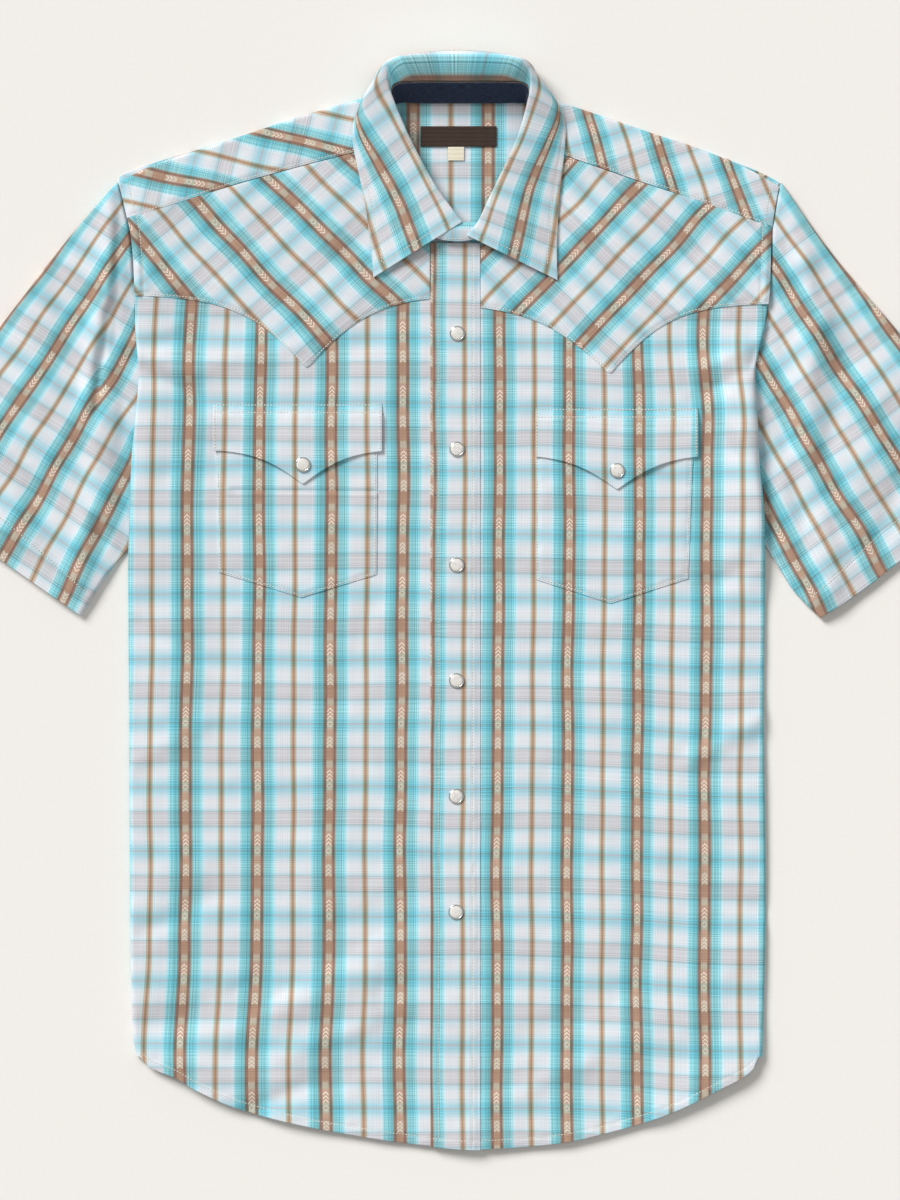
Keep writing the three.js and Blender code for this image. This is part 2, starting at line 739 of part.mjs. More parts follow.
function collarStand() {
  const ring = ringCurves(collarRows);
  const across = ringSteps;
  const along = 3;
  return sheet({
    across,
    along,
    thick: bodyCloth,
    at: (i, j) => standPoint(ring, i / across, j / along),
  });
}

// Inner band of the stand, where it shows round the back of the neck
function standBand() {
  const ring = ringCurves(collarRows);
  const from = 8;
  const to = 22;
  const along = 3;
  const nearby = 0.01;
  const inside = new THREE.Vector3(5, 340, 40);
  return sheet({
    across: to - from,
    along,
    thick: sleeveCloth,
    at(i, j) {
      const t = (from + i) / ringSteps;
      const point = standPoint(ring, t, j / along);
      const alongRing = standPoint(ring, t + nearby, 0.5).sub(standPoint(ring, t - nearby, 0.5));
      const upStand = standPoint(ring, t, 1).sub(standPoint(ring, t, 0));
      const offset = alongRing.cross(upStand).normalize();
      if (offset.dot(inside.clone().sub(point)) < 0) offset.negate();
      return point.addScaledVector(offset, (bodyCloth + sleeveCloth) / 2 + layGap);
    },
  });
}

// A woven rectangle sewn to the inner yoke
function patch({ minX, maxX, minY, maxY, thick }) {
  const outline = [[minX, minY], [maxX, minY], [maxX, maxY], [minX, maxY]];
  return flatPiece(outline, bodyCloth + seamGap + sleeveCloth + seamGap, thick);
}

// A closed profile of radius and height, turned round the vertical
function turned(profile) {
  const points = profile.map(([radius, z]) => new THREE.Vector2(radius, z));
  return new THREE.LatheGeometry(points, snapSides).rotateX(Math.PI / 2);
}

// Snap cap: a rolled metal ring round a domed pearl centre
function snapRing() {
  const outer = snapDiameter / 2;
  const inner = pearlDiameter / 2 + seamGap;
  const profile = [
    [inner, 0],
    [outer, 0],
    [outer, snapHeight * 0.45],
    [(outer + inner) / 2, snapHeight * 0.8],
    [inner, snapHeight * 0.6],
    [inner, 0],
  ];
  return turned(profile);
}

function snapPearl() {
  const radius = pearlDiameter / 2;
  const profile = [
    [0, 0],
    [radius, 0],
    [radius, snapHeight * 0.5],
    [radius * 0.62, snapHeight * 0.88],
    [0, snapHeight],
  ];
  return turned(profile);
}

function addSnap(name, x, y, z) {
  const ring = addPiece(`${name}_ring`, snapRing(), ringColour, 0.35, 0.9);
  const pearl = addPiece(`${name}_pearl`, snapPearl(), pearlColour, 0.25);
  ring.position.set(x, y, z + layGap);
  pearl.position.set(x, y, z + layGap);
}

addPiece('back_panel', backPanel(), plaidColour);
addPiece('back_yoke', backYoke(), yokeColour);
addPiece('yoke_lining', yokeLining(), liningColour);
for (const side of ['right', 'left']) {
  addPiece(`front_${side}`, frontPanel(side), plaidColour);
  addPiece(`front_yoke_${side}`, frontYoke(side), yokeColour);
  addPiece(`sleeve_${side}`, sleeve(side), plaidColour);
  addPiece(`pocket_${side}`, pocket(side), pocketColour);
  addPiece(`flap_${side}`, flap(side), pocketColour);
}
addPiece('placket', placket(), pocketColour);
addPiece('collar_stand', collarStand(), plaidColour);
addPiece('stand_band', standBand(), bandColour);
addPiece('collar', collar(), yokeColour);

addPiece('neck_label', patch(label), labelColour);
addPiece('size_tab', patch(tab), tabColour);

for (let k = 0; k < snapCount; k += 1) {
  const y = firstSnapY - k * snapPitch;
  const x = lerp(snapLineX.top, snapLineX.bottom, k / (snapCount - 1));
  addSnap(`snap_${k + 1}`, x, y, placketZ(x, y) + placketCloth / 2);
}
for (const side of ['right', 'left']) {
  const [x, y] = pocketSnaps[side];
  addSnap(`pocket_snap_${side}`, x, y, flapZ(side, x, y) + pocketCloth / 2);
}

export default shirt;
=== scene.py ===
import math
import bmesh
import bpy
import numpy as np
from mathutils import Matrix, Vector


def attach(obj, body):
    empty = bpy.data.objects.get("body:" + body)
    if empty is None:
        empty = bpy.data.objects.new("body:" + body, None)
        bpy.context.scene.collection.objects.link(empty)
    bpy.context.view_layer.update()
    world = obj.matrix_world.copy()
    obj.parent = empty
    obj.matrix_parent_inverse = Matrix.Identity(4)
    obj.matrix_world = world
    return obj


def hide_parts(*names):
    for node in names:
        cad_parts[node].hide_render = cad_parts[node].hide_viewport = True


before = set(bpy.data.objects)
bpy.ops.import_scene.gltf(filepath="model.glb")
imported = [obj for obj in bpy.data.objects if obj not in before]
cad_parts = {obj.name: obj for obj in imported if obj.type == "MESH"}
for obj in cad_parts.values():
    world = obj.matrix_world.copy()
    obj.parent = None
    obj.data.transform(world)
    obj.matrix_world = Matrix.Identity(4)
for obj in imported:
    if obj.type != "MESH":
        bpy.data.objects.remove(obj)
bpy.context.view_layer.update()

mm = 0.001
sides = {"right": -1, "left": 1}  # the wearer's, so right is at the lower X


def lerp(a, b, t):
    return a + (b - a) * t


def smoothstep(value, low, high):
    t = np.clip((value - low) / (high - low), 0, 1)
    return t * t * (3 - 2 * t)


def bell(distance, width):
    return np.exp(-((distance / width) ** 2))


def smoothCurve(points):  # through a table's rows, with no overshoot
    xs, ys = np.array(points, float).T
    steps = np.diff(ys) / np.diff(xs)
    before = np.append(steps[:1], steps)
    after = np.append(steps, steps[-1:])
    together = np.where(before + after == 0, 1, before + after)
    slopes = np.where(before * after > 0, 2 * before * after / together, 0)

    def at(place):
        place = np.asarray(place, float)
        i = np.clip(np.searchsorted(xs, place) - 1, 0, len(xs) - 2)
        span = xs[i + 1] - xs[i]
        t = np.clip((place - xs[i]) / span, 0, 1)
        s = 1 - t
        ends = s * s * (1 + 2 * t) * ys[i] + t * t * (1 + 2 * s) * ys[i + 1]
        return ends + span * s * t * (s * slopes[i] - t * slopes[i + 1])

    return at


def nearEdge(t, steps, reach):  # the first share of steps covers a short reach
    return np.where(t < steps, reach * t / steps, reach + (1 - reach) * (t - steps) / (1 - steps))


def nearBoth(t, steps, reach):
    half = nearEdge(2 * np.minimum(t, 1 - t), 2 * steps, 2 * reach) / 2
    return np.where(t < 0.5, half, 1 - half)


# The garment's outline seen from above, in millimetres, as on the solids
outline = {
    "sides": [  # y, right, left
        (-345, -240.5, 235.5), (-326, -243, 236), (-227, -245, 238), (-75, -246, 236.5),
        (17, -246.5, 237.5), (62, -245.5, 237), (107, -244, 233), (134, -241.5, 231.8),
        (172, -238.5, 229.8), (212, -241.3, 238), (240, -241.5, 241), (277, -244, 242),
        (300, -249, 245), (318, -253.5, 248.5),
    ],
    "hem": [  # x, y
        (-243, -338), (-240, -347), (-234.5, -353.5), (-213, -362.5), (-198, -371.5),
        (-160, -387.5), (-84.5, -404.5), (-16.5, -414), (23, -416.4), (59, -414.5), (83, -412),
        (120.5, -404), (164, -391), (205.5, -371.5), (231.5, -356), (236, -345),
    ],
    "shoulders": [  # x, ridge, forward seam
        (-254, 318.5, 289), (-222, 333.5, 299), (-192, 343, 308), (-154, 355.5, 319.5),
        (-116, 368, 330), (-72, 381, 341.5), (-46, 388, 349), (57, 387, 348), (86, 377.5, 338),
        (112, 369, 329), (150, 356, 316), (188, 343.5, 304), (226, 327.5, 291), (249, 314.5, 283),
    ],
    "armholes": [  # y, right, left
        (87, -208, 203), (110, -209, 204), (140, -213, 207), (180, -226, 217), (205, -239, 236),
        (222, -242.3, 240.2), (240, -242.4, 242), (277, -245, 243), (300, -250, 246),
        (318, -254.6, 249.6),
    ],
}
column = {"right": 1, "left": 2}
sideX, armholeX = [
    {side: smoothCurve([(row[0], row[k]) for row in outline[name]]) for side, k in column.items()}
    for name in ("sides", "armholes")
]
hemY = smoothCurve(outline["hem"])
ridgeY, forwardSeamY = [smoothCurve([(row[0], row[k]) for row in outline["shoulders"]]) for k in (1, 2)]
armholeGap = 1.4  # between the middles of the body's walls and the sleeve's
backHemInset = 4

layers = {  # heights of the middle of each layer, and how far one stands on the next
    "wall": 1.2, "under": 0.6, "front": 3.6, "overSleeve": 3.4, "ridge": 5.4,
    "sewnStep": 0.8, "fullStep": 1.6,
}

# Soft creases from one place to another: width, and height above the cloth or below it
creases = [
    (-192, -338, -60, -280, 15, 2.4), (-226, -322, -150, -300, 11, -3.0), (-150, -300, -62, -244, 11, -3.2),
    (-203, -60, -200, 40, 20, 1.3), (-205, -230, -203, -170, 20, 1.5), (150, -170, 70, -120, 22, 1.3),
    (200, -300, 120, -340, 20, 1.5), (-255, 316, -264, 205, 9, 3.6), (-254, 285, -257, 262, 6, -1.4),
    (-330, 190, -300, 60, 16, 2.0), (251, 275, 251, 120, 7, -1.6), (268, 255, 272, 110, 11, 3.0),
    (330, 170, 300, 60, 16, 1.8), (-267, 150, -280, 14, 11, 3.0), (266, 130, 282, 10, 11, 2.6),
    # Small ones, most of them short and shallow
    (-240, 176, -190, 152, 6, -2.6), (-240, 190, -198, 172, 6, 2), (-222, 196, -154, 211, 7, -2.3),
    (-192, 178, -124, 192, 8, 1.7), (-214, 232, -176, 214, 7, -1.4), (231, 180, 188, 155, 6, -2.6),
    (231, 196, 190, 176, 6, 2), (180, 168, 211, 114, 6, -2.2), (190, 176, 224, 120, 8, 2.2),
    (84, -158, 104, -178, 7, -2.2), (130, -118, 158, -140, 8, -2), (-120, -160, -66, -204, 8, -1.7),
    (-60, -130, -30, -190, 8, 1.4), (-236, -20, -188, -44, 7, -1.7), (-238, -120, -196, -96, 8, 1.7),
    (228, 30, 190, 8, 8, -1.7), (232, -90, 186, -118, 8, 2), (232, -236, 176, -214, 9, -2),
    (-232, -250, -186, -226, 8, -2), (60, -330, 128, -296, 10, -1.7), (30, -384, 96, -352, 9, 1.4),
    (-150, -384, -66, -352, 8, -2.8), (-124, -344, -44, -312, 9, 2), (-214, 60, -196, 128, 8, 1.4),
    (-52, -300, -44, -344, 8, -2.3), (-110, -262, -96, -300, 9, -1.7), (-196, -352, -130, -368, 9, 1.7),
    (-80, -60, -60, 0, 9, -1.3), (60, 190, 42, 240, 8, -1.3), (-70, 196, -34, 226, 8, -1.3),
    (214, 200, 200, 240, 7, 1.3), (150, 240, 190, 268, 9, -1.4), (-190, 262, -150, 236, 9, -1.4),
    (-110, 300, -78, 262, 9, 1.4), (-96, 250, -60, 280, 8, -1.3), (96, 288, 132, 262, 9, 1.4),
    (-252, 306, -258, 196, 5, -2.6), (-254, 312, -265, 205, 4, 1.6), (-262, 218, -271, 146, 3.5, -3.2),
    (-270, 222, -279, 144, 5, 2.9), (-250, 176, -244, 110, 7, -2.6), (-300, 240, -286, 180, 9, -2.4),
    (-318, 196, -290, 130, 9, 2.2), (-364, 140, -330, 70, 11, 2.4), (-392, 118, -366, 76, 8, -1.9),
    (-284, 108, -268, 52, 7, -2.4), (-276, 60, -290, 16, 8, 2.1), (-318, 84, -300, 30, 8, -1.8),
    (246, 280, 262, 208, 8, -3.5), (233, 186, 252, 134, 9, -3.8), (266, 250, 284, 196, 8, 2.9),
    (284, 226, 270, 170, 9, 2.6), (300, 190, 286, 120, 9, -2.4), (322, 214, 350, 160, 11, 1.9),
    (352, 128, 330, 60, 9, -2.2), (372, 150, 402, 104, 10, 1.9), (262, 96, 270, 40, 7, -2.6),
    (282, 66, 290, 14, 8, 2.1),
]


def creaseHeight(x, y, rows):
    total = np.zeros(np.broadcast(x, y).shape)
    for fromX, fromY, toX, toY, width, height in rows:
        runX, runY = toX - fromX, toY - fromY
        length = math.hypot(runX, runY)
        along = ((x - fromX) * runX + (y - fromY) * runY) / length
        aside = ((x - fromX) * runY - (y - fromY) * runX) / length
        past = np.maximum(0, np.maximum(-along, along - length))
        total += height * np.exp(-(aside ** 2) / width ** 2 - (past / width) ** 2 / 3)
    return total


def rumple(x, y, seed, wavelength, height):  # faint unevenness of worn, pressed cloth
    random = np.random.default_rng(seed)
    total = np.zeros(np.broadcast(x, y).shape)
    waves = 7
    for _ in range(waves):
        angle = random.uniform(0, math.pi)
        scale = 2 * math.pi / (wavelength * random.uniform(0.6, 1.6))
        bend = random.uniform(0, 2 * math.pi)
        wander = 0.8 * np.sin((x * math.sin(angle) - y * math.cos(angle)) * scale * 0.43 + bend)
        total += np.sin((x * math.cos(angle) + y * math.sin(angle)) * scale + wander + 2 * bend)
    return total * height / waves


def pucker(x, y, distance, reach=6, height=0.35):  # short ripples that a tight seam draws in
    return rumple(x, y, 11, 9, height) * bell(distance, reach)


def clothNoise(x, y):
    return rumple(x, y, 3, 80, 1.3) + rumple(x, y, 4, 30, 0.65) + rumple(x, y, 8, 13, 0.22)


def restingOn(low, z, softness=0.5):  # a trough flattens where it meets the cloth beneath
    return low + softness * np.logaddexp(0, (z - low) / softness)


frontForm = {  # how the cloth stands up at its sides, over the sleeves and at its hem
    "sideRise": 1.8, "overSleeveRise": 3.8, "sideReach": 75, "riseY": (5, 60), "fallY": (150, 225),
    "sleeveLift": {"right": 2.0, "left": 6.5}, "sleeveFromY": (-10, 60), "sleeveToY": (150, 215),
    "sleeveReach": (4, 40), "hemLift": 0.6, "hemReach": 46, "lowest": 2.2,
    "hemWaves": [(-158, 62, 3.6), (190, 44, 3.4), (20, 60, 1.6), (100, 34, 1.0)],  # x, reach, height
}


def frontZ(x, y):
    form = frontForm
    fromEdge = np.minimum(x - sideX["right"](y), sideX["left"](y) - x)
    sideLift = lerp(form["sideRise"], form["overSleeveRise"], smoothstep(y, *form["riseY"]))
    sideLift = sideLift - form["sideRise"] * smoothstep(y, *form["fallY"])
    besideSleeve = smoothstep(y, *form["sleeveFromY"]) * (1 - smoothstep(y, *form["sleeveToY"]))
    sleeveLift = np.where(x > 0, form["sleeveLift"]["left"], form["sleeveLift"]["right"])
    z = layers["front"] + sleeveLift * besideSleeve * (1 - smoothstep(fromEdge, *form["sleeveReach"]))
    z = z + sideLift * (1 - smoothstep(fromEdge, 0, form["sideReach"]))
    waves = sum(height * bell(x - place, reach) for place, reach, height in form["hemWaves"])
    z = z + (form["hemLift"] + waves) * (1 - smoothstep(y - hemY(x), 0, form["hemReach"]))
    return restingOn(form["lowest"], z + creaseHeight(x, y, creases) + clothNoise(x, y))


def wrapZ(y):
    return lerp(layers["under"], layers["overSleeve"], smoothstep(y, 8, 36))


def onFront(edge):  # a piece sewn on the front: pressed down at its edge, full height inside
    return lerp(layers["sewnStep"], layers["fullStep"], smoothstep(edge, 0.5, 6))


hemStitch = {"row": 6.5, "reach": 14}  # up from the hem's edge: its stitches, and where the grid is fine


def hemRelief(distance, row=hemStitch["row"]):  # the turned-up hem is doubled, and dented by its stitches
    return 0.3 * (1 - smoothstep(distance, row - 0.6, row + 0.8)) - 0.35 * bell(distance - row, 0.9)


yokes = {
    "right": {"pointX": -110.5, "pointY": 176.5, "rise": 56, "outerReach": 53, "innerReach": 52,
              "outerX": -247.5, "sideY": 231.5},
    "left": {"pointX": 119.5, "pointY": 172, "rise": 54, "outerReach": 48, "innerReach": 58,
             "outerX": 243, "sideY": 225.5},
}


def yokeEdgeY(side, x):
    yoke = yokes[side]
    reach = np.where(np.abs(x) > abs(yoke["pointX"]), yoke["outerReach"], yoke["innerReach"])
    return yoke["pointY"] + yoke["rise"] * np.tanh(np.abs(x - yoke["pointX"]) / reach)


print("outline ready")

# Materials


def linear(hexColour):
    parts = [int(hexColour[i:i + 2], 16) / 255 for i in (1, 3, 5)]
    return [c / 12.92 if c <= 0.04045 else ((c + 0.055) / 1.055) ** 2.4 for c in parts] + [1]


def addNode(tree, kind, settings=None, inputs=None):
    node = tree.nodes.new("ShaderNode" + kind)
    for name, value in (settings or {}).items():
        if name != "stops":
            setattr(node, name, value)
            continue
        elements = node.color_ramp.elements
        elements.remove(elements[1])
        for place, colour, alpha in value:
            element = elements[0] if place == value[0][0] else elements.new(place)
            element.position = place
            element.color = linear(colour)[:3] + [alpha]
    for name, value in (inputs or {}).items():
        if isinstance(value, bpy.types.Node):
            tree.links.new(value.outputs[0], node.inputs[name])
        elif isinstance(value, bpy.types.NodeSocket):
            tree.links.new(value, node.inputs[name])
        else:
            node.inputs[name].default_value = value
    return node


def newMaterial(name, shaderInputs):
    material = bpy.data.materials.new(name)
    material.use_nodes = True
    tree = material.node_tree
    tree.nodes.clear()
    shader = addNode(tree, "BsdfPrincipled", None, shaderInputs)
    addNode(tree, "OutputMaterial", None, {0: shader})
    return material, tree, shader


plaid = {  # millimetres on the cloth
    "warpRepeat": 53.5,
    "weftRepeat": 48.4,
    "brightness": 0.99,
    "saturation": 0.92,
    "chevron": {"slope": 1.1, "pitch": 2.9, "stroke": 0.38, "halfWidth": 2.2, "colour": "#EEDCCA"},
    # From the middle of a wide stripe: colour, and how much its single threads show
    "warp": [
        (0.0, "#C9A58B", 0.5), (2.1, "#C09A80", 0.5), (2.9, "#9C7868", 0.6), (3.9, "#946F60", 0.6),
        (5.0, "#A3ACA4", 0.8), (5.6, "#86CAD0", 1.0), (6.6, "#93D3D9", 1.0), (7.4, "#7AC2CB", 1.0),
        (8.4, "#94D4DC", 1.0), (9.8, "#7FC9D3", 1.0), (10.8, "#9BD9E2", 1.0), (12.2, "#A3DFE9", 0.8),
        (13.4, "#D3EBF3", 0.4), (15.0, "#DFE2E8", 0.25), (21.8, "#E1E2E7", 0.25), (23.6, "#D7E6E9", 0.4),
        (24.8, "#CFC4B6", 0.6), (26.0, "#C6A183", 0.6), (26.8, "#A58569", 0.6), (27.6, "#C2A086", 0.6),
        (28.7, "#CFC5B9", 0.6), (29.9, "#D6EAEF", 0.5), (31.6, "#DEE4EA", 0.25), (38.8, "#DFE2E8", 0.25),
        (40.5, "#D0EAF2", 0.6), (41.8, "#92D7E1", 1.0), (44.4, "#83CBD4", 1.0), (46.2, "#73C0CA", 1.0),
        (47.9, "#77BDC4", 1.0), (48.6, "#909E96", 0.8), (49.4, "#946F60", 0.6), (51.0, "#9C7868", 0.6),
    ],
    # Up from the thin line: what the weft does to the warp's colour
    "weft": [
        (0.0, "#D6CED2", 1), (0.45, "#CDDADE", 1), (0.9, "#B8E8F1", 1), (2.4, "#BFEDF7", 1),
        (4.0, "#D9F4FB", 1), (6.0, "#E8F8FC", 1), (9.4, "#FFFFFF", 1), (13.4, "#F9FDFF", 1),
        (17.0, "#DEF5FB", 1), (19.1, "#C4D6D9", 1), (19.9, "#F2F0F0", 1), (20.7, "#DAD5D7", 1),
        (21.5, "#F3F1F1", 1), (22.4, "#E3DDDE", 1), (23.3, "#F3F1F1", 1), (25.3, "#ECE7E7", 1),
        (27.4, "#F2F0F0", 1), (28.3, "#DAD6D8", 1), (29.1, "#F0EFEF", 1), (29.9, "#C4D6D9", 1),
        (31.0, "#E2F7FC", 1), (33.5, "#FBFEFF", 1), (38.0, "#FFFFFF", 1), (41.4, "#ECFAFE", 1),
        (43.4, "#D5F4FB", 1), (45.4, "#BDEDF7", 1), (47.4, "#B8E8F1", 1), (47.95, "#CDDADE", 1),
    ],
    # The same up the middle of a wide stripe
    "middle": [
        (0.0, "#9F9583", 1), (0.8, "#B1B5A3", 1), (3.2, "#B6B7A4", 1), (4.8, "#BFA08B", 1),
        (13.6, "#BF9D86", 1), (15.2, "#BDB4A0", 1), (18.8, "#B9AC98", 1), (20.4, "#AF8B73", 1),
        (29.4, "#AC876E", 1), (31.0, "#BEB09D", 1), (37.8, "#C3B29C", 1), (39.6, "#BE9C84", 1),
        (44.2, "#C0A089", 1), (45.6, "#B5B8A6", 1), (47.6, "#AEB09E", 1),
    ],
}


def spreadStops(rows, repeat):
    return [(place / repeat, colour, value) for place, colour, value in rows]


# Yarn-dyed cotton poplin, plain woven and pressed: matt, crisp, with a dobby chevron in each
# wide stripe. Its 0.25 mm threads are drawn as 0.8 mm streaks, coarse enough to show.
def plaidCotton(name):
    material, tree, shader = newMaterial(name, {
        "Roughness": 0.86, "Specular IOR Level": 0.3, "Sheen Weight": 0.12, "Sheen Roughness": 0.5,
    })
    chevron = plaid["chevron"]
    warpRepeat, weftRepeat = plaid["warpRepeat"], plaid["weftRepeat"]
    cut = addNode(tree, "UVMap", {"uv_map": "cut"})
    metres = addNode(tree, "SeparateXYZ", None, {0: cut})
    across = addNode(tree, "Math", {"operation": "MULTIPLY"}, {0: metres.outputs[0], 1: 1000 / warpRepeat})
    along = addNode(tree, "Math", {"operation": "MULTIPLY"}, {0: metres.outputs[1], 1: 1000 / weftRepeat})
    acrossShare = addNode(tree, "Math", {"operation": "FRACT"}, {0: across})
    alongShare = addNode(tree, "Math", {"operation": "FRACT"}, {0: along})
    warp = addNode(tree, "ValToRGB", {"stops": spreadStops(plaid["warp"], warpRepeat)}, {0: acrossShare})
    weft = addNode(tree, "ValToRGB", {"stops": spreadStops(plaid["weft"], weftRepeat)}, {0: alongShare})
    middle = addNode(tree, "ValToRGB", {"stops": spreadStops(plaid["middle"], weftRepeat)}, {0: alongShare})
    woven = addNode(tree, "Mix", {"data_type": "RGBA", "blend_type": "MULTIPLY"}, {0: 1.0, 6: warp, 7: weft})

    # Distances from the nearest wide stripe's middle and from the nearest thin line
    fromStripe = addNode(tree, "Math", {"operation": "PINGPONG"}, {0: across, 1: 0.5})
    fromLine = addNode(tree, "Math", {"operation": "PINGPONG"}, {0: along, 1: 0.5})
    stripeMm = addNode(tree, "Math", {"operation": "MULTIPLY"}, {0: fromStripe, 1: warpRepeat})
    lineMm = addNode(tree, "Math", {"operation": "MULTIPLY"}, {0: fromLine, 1: weftRepeat})
    inMiddle = addNode(tree, "MapRange", None, {0: stripeMm, 1: 2.1, 2: 2.6, 3: 1.0, 4: 0.0})
    banded = addNode(tree, "Mix", {"data_type": "RGBA"}, {0: inMiddle, 6: woven.outputs[2], 7: middle})

    # Chevrons stand in two groups in each repeat, and a small diamond on the thin line
    slant = addNode(tree, "Math", {"operation": "MULTIPLY"}, {0: stripeMm, 1: chevron["slope"] / weftRepeat})
    slanted = addNode(tree, "Math", {"operation": "ADD"}, {0: along, 1: slant})
    slantedShare = addNode(tree, "Math", {"operation": "FRACT"}, {0: slanted})
    groups = addNode(tree, "ValToRGB", {"stops": spreadStops([
        (0.0, "#000000", 1), (5.8, "#000000", 1), (5.9, "#FFFFFF", 1), (14.3, "#FFFFFF", 1),
        (14.4, "#000000", 1), (31.3, "#000000", 1), (31.4, "#E0E0E0", 1), (39.3, "#E0E0E0", 1),
        (39.4, "#000000", 1),
    ], weftRepeat)}, {0: slantedShare})
    pitches = weftRepeat / chevron["pitch"]
    slantedPitches = addNode(tree, "Math", {"operation": "MULTIPLY"}, {0: slantedShare, 1: pitches})
    strokeShare = addNode(tree, "Math", {"operation": "FRACT"}, {0: slantedPitches})
    stroke = addNode(tree, "Math", {"operation": "LESS_THAN"}, {0: strokeShare, 1: chevron["stroke"]})
    inside = addNode(tree, "Math", {"operation": "LESS_THAN"}, {0: stripeMm, 1: chevron["halfWidth"]})
    strokeInside = addNode(tree, "Math", {"operation": "MULTIPLY"}, {0: stroke, 1: inside})
    chevrons = addNode(tree, "Math", {"operation": "MULTIPLY"}, {0: strokeInside, 1: groups})
    diamondSum = addNode(tree, "Math", {"operation": "ADD"}, {0: stripeMm, 1: lineMm})
    diamond = addNode(tree, "Math", {"operation": "COMPARE"}, {0: diamondSum, 1: 2.0, 2: 0.45})
    faintDiamond = addNode(tree, "Math", {"operation": "MULTIPLY"}, {0: diamond, 1: 0.55})
    marks = addNode(tree, "Math", {"operation": "MAXIMUM"}, {0: chevrons, 1: faintDiamond})
    figured = addNode(tree, "Mix", {"data_type": "RGBA"}, {
        0: marks, 6: banded.outputs[2], 7: linear(chevron["colour"]),
    })

    # Single threads, each a little lighter or darker than the next
    warpThreads, weftThreads = [
        addNode(tree, "TexNoise", {"noise_dimensions": "1D"}, {"W": place, "Scale": scale, "Detail": 1.0})
        for place, scale in ((across, 70.0), (along, 63.0))
    ]
    threads = addNode(tree, "Math", {"operation": "ADD"}, {0: warpThreads, 1: weftThreads})
    threadShare = addNode(tree, "MapRange", {"clamp": False}, {0: threads, 1: 0.6, 2: 1.4, 3: -0.4, 4: 0.4})
    shown = addNode(tree, "Math", {"operation": "MULTIPLY"}, {0: threadShare, 1: warp.outputs[1]})
    brightness = addNode(tree, "Math", {"operation": "ADD"}, {0: shown, 1: plaid["brightness"]})
    streaked = addNode(tree, "HueSaturation", None, {
        "Value": brightness, "Saturation": plaid["saturation"], "Color": figured.outputs[2],
    })
    tree.links.new(streaked.outputs[0], shader.inputs["Base Color"])
    weave = addNode(tree, "Bump", None, {"Strength": 0.35, "Distance": 0.0001, "Height": threads})
    tree.links.new(weave.outputs[0], shader.inputs["Normal"])
    return material


# Indigo chambray: navy warp with paler weft, so it looks flecked and slightly streaky
def chambray(name):
    material, tree, shader = newMaterial(name, {
        "Roughness": 0.9, "Specular IOR Level": 0.2, "Sheen Weight": 0.2,
    })
    cut = addNode(tree, "UVMap", {"uv_map": "cut"})
    stretched = addNode(tree, "Mapping", None, {0: cut, "Scale": (1500, 300, 1)})
    flecks = addNode(tree, "TexNoise", None, {"Vector": stretched, "Scale": 1.0, "Detail": 3.0})
    colour = addNode(tree, "ValToRGB", {"stops": [
        (0.0, "#141D2E", 1), (0.45, "#1D2A42", 1), (0.6, "#2B3A57", 1), (1.0, "#4A5C7E", 1),
    ]}, {0: flecks})
    tree.links.new(colour.outputs[0], shader.inputs["Base Color"])
    weave = addNode(tree, "Bump", None, {"Strength": 0.5, "Distance": 0.0001, "Height": flecks})
    tree.links.new(weave.outputs[0], shader.inputs["Normal"])
    return material


# Woven tape of a label: a close taffeta rib, 0.3 mm apart, drawn 0.5 mm apart to show
def wovenTape(name, dark, light, roughness, rib=0.5):
    material, tree, shader = newMaterial(name, {"Roughness": roughness, "Specular IOR Level": 0.35})
    cut = addNode(tree, "UVMap", {"uv_map": "cut"})
    ribs = addNode(tree, "TexWave", {"bands_direction": "Y"}, {
        "Vector": cut, "Scale": 1 / (rib * mm * 20), "Distortion": 1.5, "Detail": 2.0, "Detail Scale": 2.0,
    })
    colour = addNode(tree, "ValToRGB", {"stops": [(0.0, dark, 1), (1.0, light, 1)]}, {0: ribs})
    tree.links.new(colour.outputs[0], shader.inputs["Base Color"])
    relief = addNode(tree, "Bump", None, {"Strength": 0.5, "Distance": 0.0001, "Height": ribs})
    tree.links.new(relief.outputs[0], shader.inputs["Normal"])
    return material


# Spun polyester thread, soft and slightly glossy
def sewingThread(name, colour):
    material, tree, shader = newMaterial(name, {"Roughness": 0.6, "Sheen Weight": 0.2})
    place = addNode(tree, "TexCoord")
    twist = addNode(tree, "TexNoise", None, {"Vector": place.outputs["Object"], "Scale": 1500.0})
    tint = addNode(tree, "ValToRGB", {"stops": [(0.3, "#D5CFC3", 1), (0.7, colour, 1)]}, {0: twist})
    tree.links.new(tint.outputs[0], shader.inputs["Base Color"])
    return material


# Nickel-plated brass, stamped and polished: bright, with faint handling marks
def nickelPlate(name):
    material, tree, shader = newMaterial(name, {"Metallic": 1.0, "Base Color": linear("#D3D2CF")})
    place = addNode(tree, "TexCoord")
    marks = addNode(tree, "TexNoise", None, {
        "Vector": place.outputs["Object"], "Scale": 900.0, "Detail": 4.0,
    })
    roughness = addNode(tree, "MapRange", None, {0: marks, 3: 0.16, 4: 0.34})
    tree.links.new(roughness.outputs[0], shader.inputs["Roughness"])
    return material


